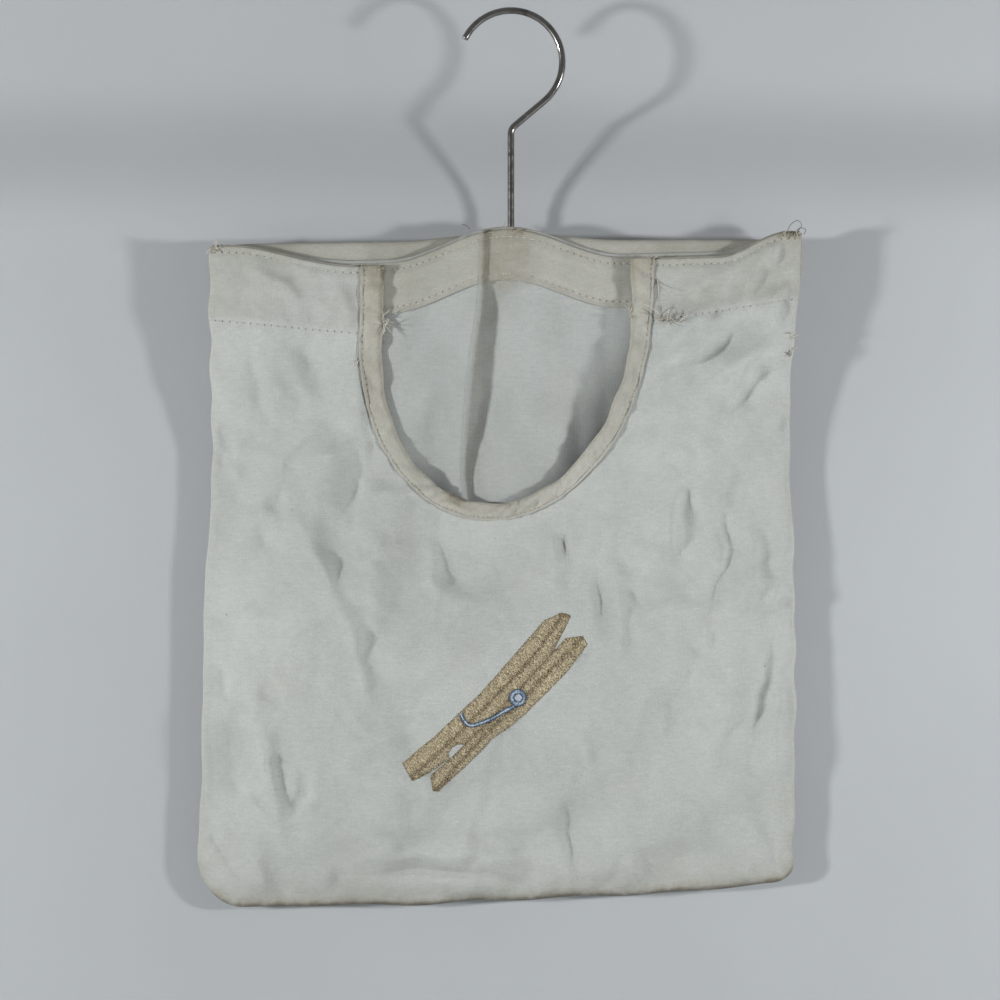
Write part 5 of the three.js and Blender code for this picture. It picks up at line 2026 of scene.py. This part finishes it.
@dataclass
class Embroidery:
    """A spring peg in satin stitch on the lower front: two prongs, their grooves and the spring.

    Attributes:
        cloth: The front.
        stitch: The thread bead.
        centre: Middle of the motif on the hanging bag, mm.
        tilt: Slant of its length.
        spacing: Spacing of its strands, mm.
        upper: Inner edge, groove and outer edge of the upper half.
        lower: The same of the lower half.
    """

    cloth: FrontCloth
    stitch: StitchShape
    centre: tuple[float, float] = (-9.1, -352.7)
    tilt: float = math.radians(45)
    spacing: float = 0.44
    # Edges and grooves of the two halves, as points along and across the motif.
    upper: tuple[Points, ...] = (
        ((-55.7, 1.8), (-46.8, -1.4), (-37.6, -2.7), (-35.0, -3.6), (-33.6, -1.2), (-30.2, 0.0),
         (-26.4, -0.9), (-23.8, -3.5), (-5.9, -4.0), (13.0, -3.3), (39.7, -2.2), (52.9, 1.8), (59.0, 4.1)),
        ((-55.7, 2.1), (-54.9, 3.3), (-22.1, 2.2), (13.0, 2.6), (34.8, 3.3), (56.0, 7.1), (59.0, 4.3)),
        ((-55.7, 2.4), (-52.9, 11.4), (-31.5, 9.5), (-13.1, 9.0), (-0.6, 8.7), (26.5, 10.1), (48.4, 11.4),
         (57.1, 8.2), (59.0, 4.5)),
    )
    lower: tuple[Points, ...] = (
        ((-52.3, -9.1), (-47.8, -3.2), (-34.2, -4.1), (-24.2, -4.0), (-5.9, -4.5), (13.0, -3.8), (39.7, -2.7),
         (49.6, -2.5), (56.3, -7.4)),
        ((-52.3, -9.3), (-48.1, -10.3), (-26.3, -8.0), (-8.9, -7.4), (9.2, -8.6), (23.5, -8.0), (56.3, -7.6)),
        ((-52.3, -9.5), (-50.8, -11.4), (-33.0, -11.8), (-18.0, -11.8), (-12.7, -11.2), (-2.9, -13.3),
         (8.1, -14.3), (38.6, -14.0), (55.2, -11.8), (56.3, -7.8)),
    )

    def place(self, a: Array, b: Array) -> tuple[Array, Array]:
        """Hanging place of a point along and across the motif."""
        c, s = math.cos(self.tilt), math.sin(self.tilt)
        return self.centre[0] + a * c - b * s, self.centre[1] + a * s + b * c

    def strands(self, name: str, ends: Array, finish: Finish, lift: float, thick: float,
                seed: int, nodes: Sequence[str] = (), tones: Array | None = None) -> Piece:
        """Lays satin strands.

        Args:
            name: Name of the piece.
            ends: Rows of the two ends of each strand, along and across the motif, mm.
            finish: Thread of the strands.
            lift: Height of the strands over the cloth, mm.
            thick: Thickness of a strand, mm.
            seed: Seed of their unevenness.
            nodes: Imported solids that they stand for.
            tones: Tone of each strand.

        Returns:
            The piece.
        """
        rng = np.random.default_rng(seed)
        ends = ends + rng.normal(0, 0.10, ends.shape)
        ax, az = self.place(ends[:, 0], ends[:, 1])
        bx, bz = self.place(ends[:, 2], ends[:, 3])
        x, z = (ax + bx) / 2, (az + bz) / 2
        span = np.hypot(bx - ax, bz - az)
        sizes = np.column_stack([span + 0.5, np.full(span.shape, thick), np.full(span.shape, thick * 0.95)])
        sizes[:, 1:] *= rng.uniform(0.85, 1.15, (len(span), 2))
        frames = frames_along(self.cloth, x, z, bx - ax, bz - az)
        lifts = lift + 0.10 * np.minimum(span, 6) + rng.uniform(0, 0.12, span.shape)
        made = self.stitch.copies(name, self.cloth.points(x, z, lifts), frames, sizes, seed, 0.022, tones)
        return publish(made, finish, nodes=nodes)

    def fill(self, lines: Sequence[Points], seed: int) -> tuple[Array, Array]:
        """Rows of short strands that fill a half of the peg, darker beside its grooves.

        Args:
            lines: Inner edge, groove and outer edge of the half.
            seed: Seed of the strands' joins and tones.

        Returns:
            Rows of the two ends of each strand, and their tones.
        """
        rng = np.random.default_rng(seed)
        edges = [np.asarray(line) for line in lines]
        ends, tones = [], []
        for a in np.arange(edges[0][0, 0] + 0.2, edges[0][-1, 0], self.spacing):
            inner, groove, outer = (np.interp(a, line[:, 0], line[:, 1]) for line in edges)
            low, high = min(inner, outer), max(inner, outer)
            joins = np.arange(low + rng.uniform(0.2, 1.6), high - 0.3, 1.55)
            marks = np.concatenate([[low], joins + rng.normal(0, 0.15, len(joins)), [high]])
            for b, c in zip(marks, marks[1:]):
                middle = (b + c) / 2
                ends.append((a - 0.05, b, a + 0.05, c))
                near = ((groove, 0.46, 1.1), (inner, 0.40, 1.0), (outer, 0.26, 0.9))
                shade = sum(dark * math.exp(-(((middle - line) / wide) ** 2)) for line, dark, wide in near)
                tones.append(0.58 - shade + rng.uniform(-0.16, 0.16))
        return np.array(ends), np.clip(tones, 0, 1)

    @staticmethod
    def stem(path: Array, width: float) -> Array:
        """Short strands side by side along a path, each lying across it."""
        step = np.gradient(path, axis=0)
        side = np.column_stack([-step[:, 1], step[:, 0]]) / np.linalg.norm(step, axis=1)[:, None] * width / 2
        return np.hstack([path - side, path + side])

    def build(self) -> list[Piece]:
        """Works the two halves, their grooves and the spring.

        Returns:
            The pieces.
        """
        made = []
        for label, lines, seed in (("upper", self.upper, 401), ("lower", self.lower, 409)):
            rows, tones = self.fill(lines, seed)
            made.append(self.strands(f"satin_peg_{label}", rows, Finish.TAN, 0.30, 0.50, seed,
                                     [f"embroidered_peg_{label}"], tones))
            grooves = [self.stem(even_steps(line, 300), 0.3) for line in lines]
            made.append(self.strands(f"grooves_{label}", np.vstack(grooves), Finish.BROWN,
                                     0.34, 0.34, seed + 3))
        hub = np.array([11.6, -5.9])
        turn = np.linspace(0, 2 * np.pi, 60, endpoint=False)
        round_ = np.column_stack([np.cos(turn), np.sin(turn)])
        bends = ((8.0, -7.4), (-3.3, -4.6), (-10.8, -1.6), (-14.9, 1.0), (-15.6, 4.8), (-14.2, 8.6))
        arm = smooth_path(bends, 78)
        side = self.stem(arm, 1.5)
        coil = np.vstack([np.hstack([hub + 2.2 * round_, hub + 4.1 * round_]), side])
        made.append(self.strands("satin_spring", coil, Finish.BLUE, 0.80, 0.5, 421,
                                 ["embroidered_spring"]))
        edges = [np.hstack([hub + r * round_, hub + r * np.roll(round_, -2, axis=0)]) for r in (2.1, 4.2)]
        edges += [np.hstack([line[:-2], line[2:]]) for line in (side[:, :2], side[:, 2:])]
        made.append(self.strands("spring_edges", np.vstack(edges), Finish.NAVY, 0.98, 0.44, 423))
        eye = np.linspace(-1.6, 1.6, 9)
        reach = np.sqrt(1.9**2 - eye**2)
        pale = np.column_stack([hub[0] + eye, hub[1] - reach, hub[0] + eye, hub[1] + reach])
        # Pale strands on two arcs of the ring and in broken runs along the arm: painted glints.
        ring = hub + 3.1 * round_
        runs = [(ring, i, j) for i, j in ((8, 26), (38, 52))]
        runs += [(arm, i, j) for i, j in ((8, 24), (34, 46), (52, 66), (70, 75))]
        glints = [np.hstack([line[i:j], line[i + 2 : j + 2]]) for line, i, j in runs]
        rows = np.vstack([pale] + glints)
        made.append(self.strands("spring_eye_and_glints", rows, Finish.ICE, 0.92, 0.5, 425))
        return made


class CornerTacks:
    """Overcast thread that holds front, back and sleeve together at the two top corners."""

    def __init__(self, front: FrontCloth) -> None:
        """Keeps the front."""
        self.front = front

    def build(self) -> list[Piece]:
        """Wraps the thread over the edges of the layers.

        Returns:
            The pieces.
        """
        form, hang = self.front.form, self.front.hang
        made = []
        for side, sign, count, seed in (("left", -1, 5, 501), ("right", 1, 9, 503)):
            rng = np.random.default_rng(seed)
            wraps = []
            for x in np.linspace(form.half_width - 1.1 * count, form.half_width - 1.2, count):
                lean = rng.uniform(-1.0, 1.6)
                t = np.linspace(0, np.pi, 13)
                depth = rng.uniform(2.4, 4.0)
                hx, hz = hang.settled(np.asarray(sign * x), np.asarray(form.corner_z + 0.4))
                y = -9.1 - 4.6 * np.cos(t)
                z = hz + 0.75 * np.sin(t) - depth * np.abs(np.cos(t)) ** 3 + rng.normal(0, 0.12)
                wraps.append(np.column_stack([hx + lean * (t / np.pi - 0.5) * 2, y, z]))
            tack = draw_threads(f"corner_overcast_{side}", wraps, 0.19, 1, seed)
            made.append(publish(tack, Finish.OVERCAST, nodes=[f"{side}_corner_tack"]))
        return made


class LooseThreads:
    """Frayed yarns, loose ends and small tacking stitches."""

    # Frayed places: two ends of a line on the front, its lift, and the tuft's count, length, direction,
    # spread and seed.
    frays = (
        ((-65.5, -155), (-64.5, -162), 1.0, 22, 6.5, (1, -0.2, 0.1), 0.4, 603),
        ((61.5, -150), (61, -157), 1.0, 14, 4.5, (-1, -0.1, -0.1), 0.4, 605),
        ((72, -157), (80, -158), 0.8, 12, 13.0, (0.7, -0.06, -0.1), 0.35, 607),
        ((76, -159), (88, -160), 0.8, 12, 10.0, (-0.4, -0.06, 0.5), 0.35, 609),
        ((74, -136), (75, -142), 0.8, 4, 15.0, (0.1, -0.03, -1), 0.1, 610),
        ((-78.5, -177), (-78, -181), 0.5, 6, 3.2, (-1, -0.2, 0.1), 0.4, 611),
        ((142.2, -164), (141.8, -177), 0.5, 10, 4.5, (0.9, -0.2, -0.3), 0.4, 613),
        ((-151.5, -121.5), (-146, -121.2), 0.5, 9, 4.5, (-0.4, -0.2, 0.8), 0.6, 617),
        ((136, -114.5), (146, -114), 0.5, 10, 4.0, (0.2, -0.3, 0.9), 0.6, 619),
        ((-77, -131.5), (-66, -131.8), 0.5, 9, 2.6, (0.1, -0.2, 1), 0.5, 623),
        ((63, -127.2), (74, -126.5), 0.5, 9, 2.6, (0.1, -0.2, 1), 0.5, 629),
    )

    def __init__(self, front: FrontCloth, back: BackCloth) -> None:
        """Keeps the sheets that the threads stand out of."""
        self.front = front
        self.back = back

    @staticmethod
    def tuft(root: Points, count: int, length: float, toward: Sequence[float], spread: float,
             seed: int) -> list[Array]:
        """A few curling yarns that grow out of a line.

        Args:
            root: Two ends of the line that they grow from, mm.
            count: Number of yarns.
            length: Their typical length, mm.
            toward: Direction in which they leave.
            spread: How far they stray from it.
            seed: Seed of their curls.

        Returns:
            Their paths.
        """
        rng = np.random.default_rng(seed)
        a, b = np.asarray(root, float)
        paths = []
        for _ in range(count):
            here = a + (b - a) * rng.uniform(0, 1)
            go = np.asarray(toward, float) + rng.normal(0, spread, 3)
            go /= np.linalg.norm(go)
            steps, reach = 9, length * rng.uniform(0.45, 1.25)
            curl = rng.normal(0, 0.24, 3)
            path = [np.append(here, 1.0)]
            for k in range(steps):
                go = go + curl + rng.normal(0, 0.10, 3)
                go /= np.linalg.norm(go)
                here = here + go * reach / steps
                path.append(np.append(here, 1.0 - 0.5 * (k + 1) / steps))
            paths.append(np.array(path))
        return paths

    def on_front(self, x: float, z: float, lift: float) -> Array:
        """A point just in front of the front."""
        return self.front.points(np.array([x]), np.array([z]), np.array([lift]))[0]

    def build(self) -> list[Piece]:
        """Draws the threads where the bag is worn.

        Returns:
            The pieces.
        """
        form = self.front.form
        slit = [(-8.0, 0.0, form.bar_high[2] + 1.4), (-3.0, 0.5, form.bar_high[2] + 1.5)]
        worn = self.tuft(slit, 12, 5.0, (0.2, -0.4, 1.0), 0.5, 601)
        for start, end, lift, *rest in self.frays:
            worn += self.tuft([self.on_front(*start, lift), self.on_front(*end, lift)], *rest)
        yarns = publish(draw_threads("frayed_yarns", worn, 0.29, 0, 7), Finish.FRAY)
        loops = [
            smooth_path(((140, -12.6, -113.6), (142, -13.4, -109.5), (145.5, -13.2, -107.4),
                         (147.5, -12.8, -110.0), (145, -12.4, -113.4)), 26),
            smooth_path(((143.5, -12.5, -113.4), (147, -13.2, -111.2), (149.6, -13.0, -112.2),
                         (148.6, -12.5, -114.6)), 22),
            smooth_path(((-21, -9.6, -111.6), (-22.5, -10.4, -109.8), (-25, -10.2, -109.0)), 14),
        ]
        ends = publish(draw_threads("dark_thread_ends", loops, 0.16, 0, 9), Finish.DARK_END)
        over = Offset(self.back, form.layer)
        arch = 0.55 + 0.25 * np.sin(np.linspace(0, np.pi, 6))
        stitches = []
        for x0, z0, x1, z1 in ((1.2, -112.6, 4.8, -111.6), (2.0, -114.2, 5.2, -113.4)):
            stitches.append(over.points(np.linspace(x0, x1, 6), np.linspace(z0, z1, 6), arch))
        tacks = draw_threads("hook_tack_stitches", stitches, 0.34, 1, 11)
        publish(tacks, Finish.OVERCAST)
        return [yarns, ends, tacks]


@dataclass
class Stage:
    """A pale backdrop close behind the bag, a pale floor below, soft lamps and the camera.

    Attributes:
        middle: What the camera looks at, m.
        distance: How far it stands in front of the bag, m.
        across: Width that it sees at the bag, m.
        plane: Depth of the bag's front, m.
        near: Distance of the backdrop behind the bag, m.
        recess: Its distance behind the hook, which has room to turn, m.
        floor: Height of the floor, m.
    """

    middle: tuple[float, float] = (-0.0056, -0.2493)
    distance: float = 1.25
    across: float = 0.508
    plane: float = -0.012
    near: float = 0.0125
    recess: float = 0.036
    floor: float = -0.62

    def paint(self, name: str, colour: str, one_sided: bool) -> bpy.types.Material:
        """A plain painted surface.

        Args:
            name: Name of the material.
            colour: Its colour.
            one_sided: True if it is only seen from its front and lets light through.

        Returns:
            The material.
        """
        s = Shader(name)
        place = s.add("TexCoord", out="Object")
        share = s.times(s.ramp(s.noise(place, 220, 3.0), 0.35, 0.7), 0.22)
        tone = s.blend(share, linear(colour), linear("#A3A6A8"))
        s.set(s.surface, {"Base Color": tone, "Roughness": 0.95, "Specular IOR Level": 0.1,
                          "Normal": s.bump(s.noise(place, 2.5, 3.0), 0.15, 0.4)})
        if one_sided:
            path = s.tree.nodes.new("ShaderNodeLightPath")
            seen = s.math("MAXIMUM", path.outputs["Is Camera Ray"], path.outputs["Is Glossy Ray"])
            seen = s.math("MAXIMUM", seen, path.outputs["Is Transmission Ray"])
            share = s.times(seen, s.less(1.0, s.add("NewGeometry", out="Backfacing")))
            output = next(n for n in s.tree.nodes if n.type == "OUTPUT_MATERIAL")
            mixed = s.add("MixShader", {0: share, 1: s.add("BsdfTransparent"), 2: s.surface.outputs[0]})
            s.tree.links.new(mixed, output.inputs["Surface"])
        return s.material

    def build(self) -> None:
        """Sets the backdrop, the floor, the lamps, the world and the camera."""
        for name, turn, colour, one_sided in (
            ("backdrop", (math.pi / 2, 0, 0), "#B6BABD", True),
            ("floor", (0, 0, 0), "#D2D3D2", False),
        ):
            bpy.ops.object.select_all(action="DESELECT")
            bpy.ops.mesh.primitive_grid_add(x_subdivisions=8, y_subdivisions=600, size=6.0, rotation=turn)
            bpy.ops.object.transform_apply(location=True, rotation=True, scale=True)
            bpy.ops.object.shade_smooth()
            board = active()
            board.name = name
            for point in board.data.vertices:
                if one_sided:
                    back = float(ease(np.asarray((point.co.z + 0.105) / 0.075)))
                    point.co.y = self.near + (self.recess - self.near) * back
                else:
                    point.co.z = self.floor
            board.data.materials.append(self.paint(f"pale_{name}_paint", colour, one_sided))
        aim = Vector((self.middle[0], self.plane, self.middle[1]))
        for name, place, power, size in (
            ("left_softbox", (-1.58, -0.885, -0.25), 22.2, 0.14),
            ("right_softbox", (1.02, -0.635, -0.25), 8.1, 0.10),
            ("back_fill", (0.5, 1.4, 0.2), 8.0, 0.9),
        ):
            lamp = bpy.data.lights.new(name, "AREA")
            lamp.energy = power
            lamp.size = size
            stand = bpy.data.objects.new(name, lamp)
            stand.location = place
            stand.rotation_mode = "QUATERNION"
            stand.rotation_quaternion = (aim - Vector(place)).to_track_quat("-Z", "Y")
            bpy.context.collection.objects.link(stand)
        world = bpy.data.worlds.new("studio")
        world.use_nodes = True
        shade = next(n for n in world.node_tree.nodes if n.type == "BACKGROUND")
        shade.inputs["Color"].default_value = linear("#F4F6F8")
        shade.inputs["Strength"].default_value = 0.26
        bpy.context.scene.world = world
        lens = bpy.data.cameras.new("camera")
        lens.sensor_width = 36.0
        lens.lens = 36.0 * self.distance / self.across
        eye = bpy.data.objects.new("camera", lens)
        eye.location = (self.middle[0], self.plane - self.distance, self.middle[1])
        eye.rotation_euler = (math.pi / 2, 0, 0)
        bpy.context.collection.objects.link(eye)
        bpy.context.scene.camera = eye
        bpy.context.scene.view_settings.view_transform = "Standard"


def dress_frame() -> None:
    """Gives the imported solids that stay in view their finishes."""
    for node, finish in (("hanger_bar", Finish.BEECH), ("hook_washer", Finish.ZINC)):
        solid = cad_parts[node]
        solid.data.materials.clear()
        solid.data.materials.append(finish.material())
        log.info("%s: packed solid in %s", node, finish.value.name)


def main() -> None:
    """Builds the bag and its stage."""
    logging.basicConfig(level=logging.INFO, format="%(name)s %(message)s")
    Stage().build()
    form = BagForm.from_frame()
    hang = Hang(form)
    back = BackCloth(form, hang)
    front = FrontCloth(form, hang, back)
    stitch = StitchShape()
    dress_frame()
    made: list[Piece] = []
    for part in (
        Hook(),
        Sleeve(form),
        BackLayer(back, stitch),
        FrontLayer(front, stitch),
        MouthBinding(front, stitch),
        SeamAllowance(front, back),
        Embroidery(front, stitch),
        CornerTacks(front),
        LooseThreads(front, back),
    ):
        made += part.build()
    log.info("%d pieces, %d faces", len(made), sum(len(o.data.polygons) for o in made))


if __name__ == "__main__":
    main()
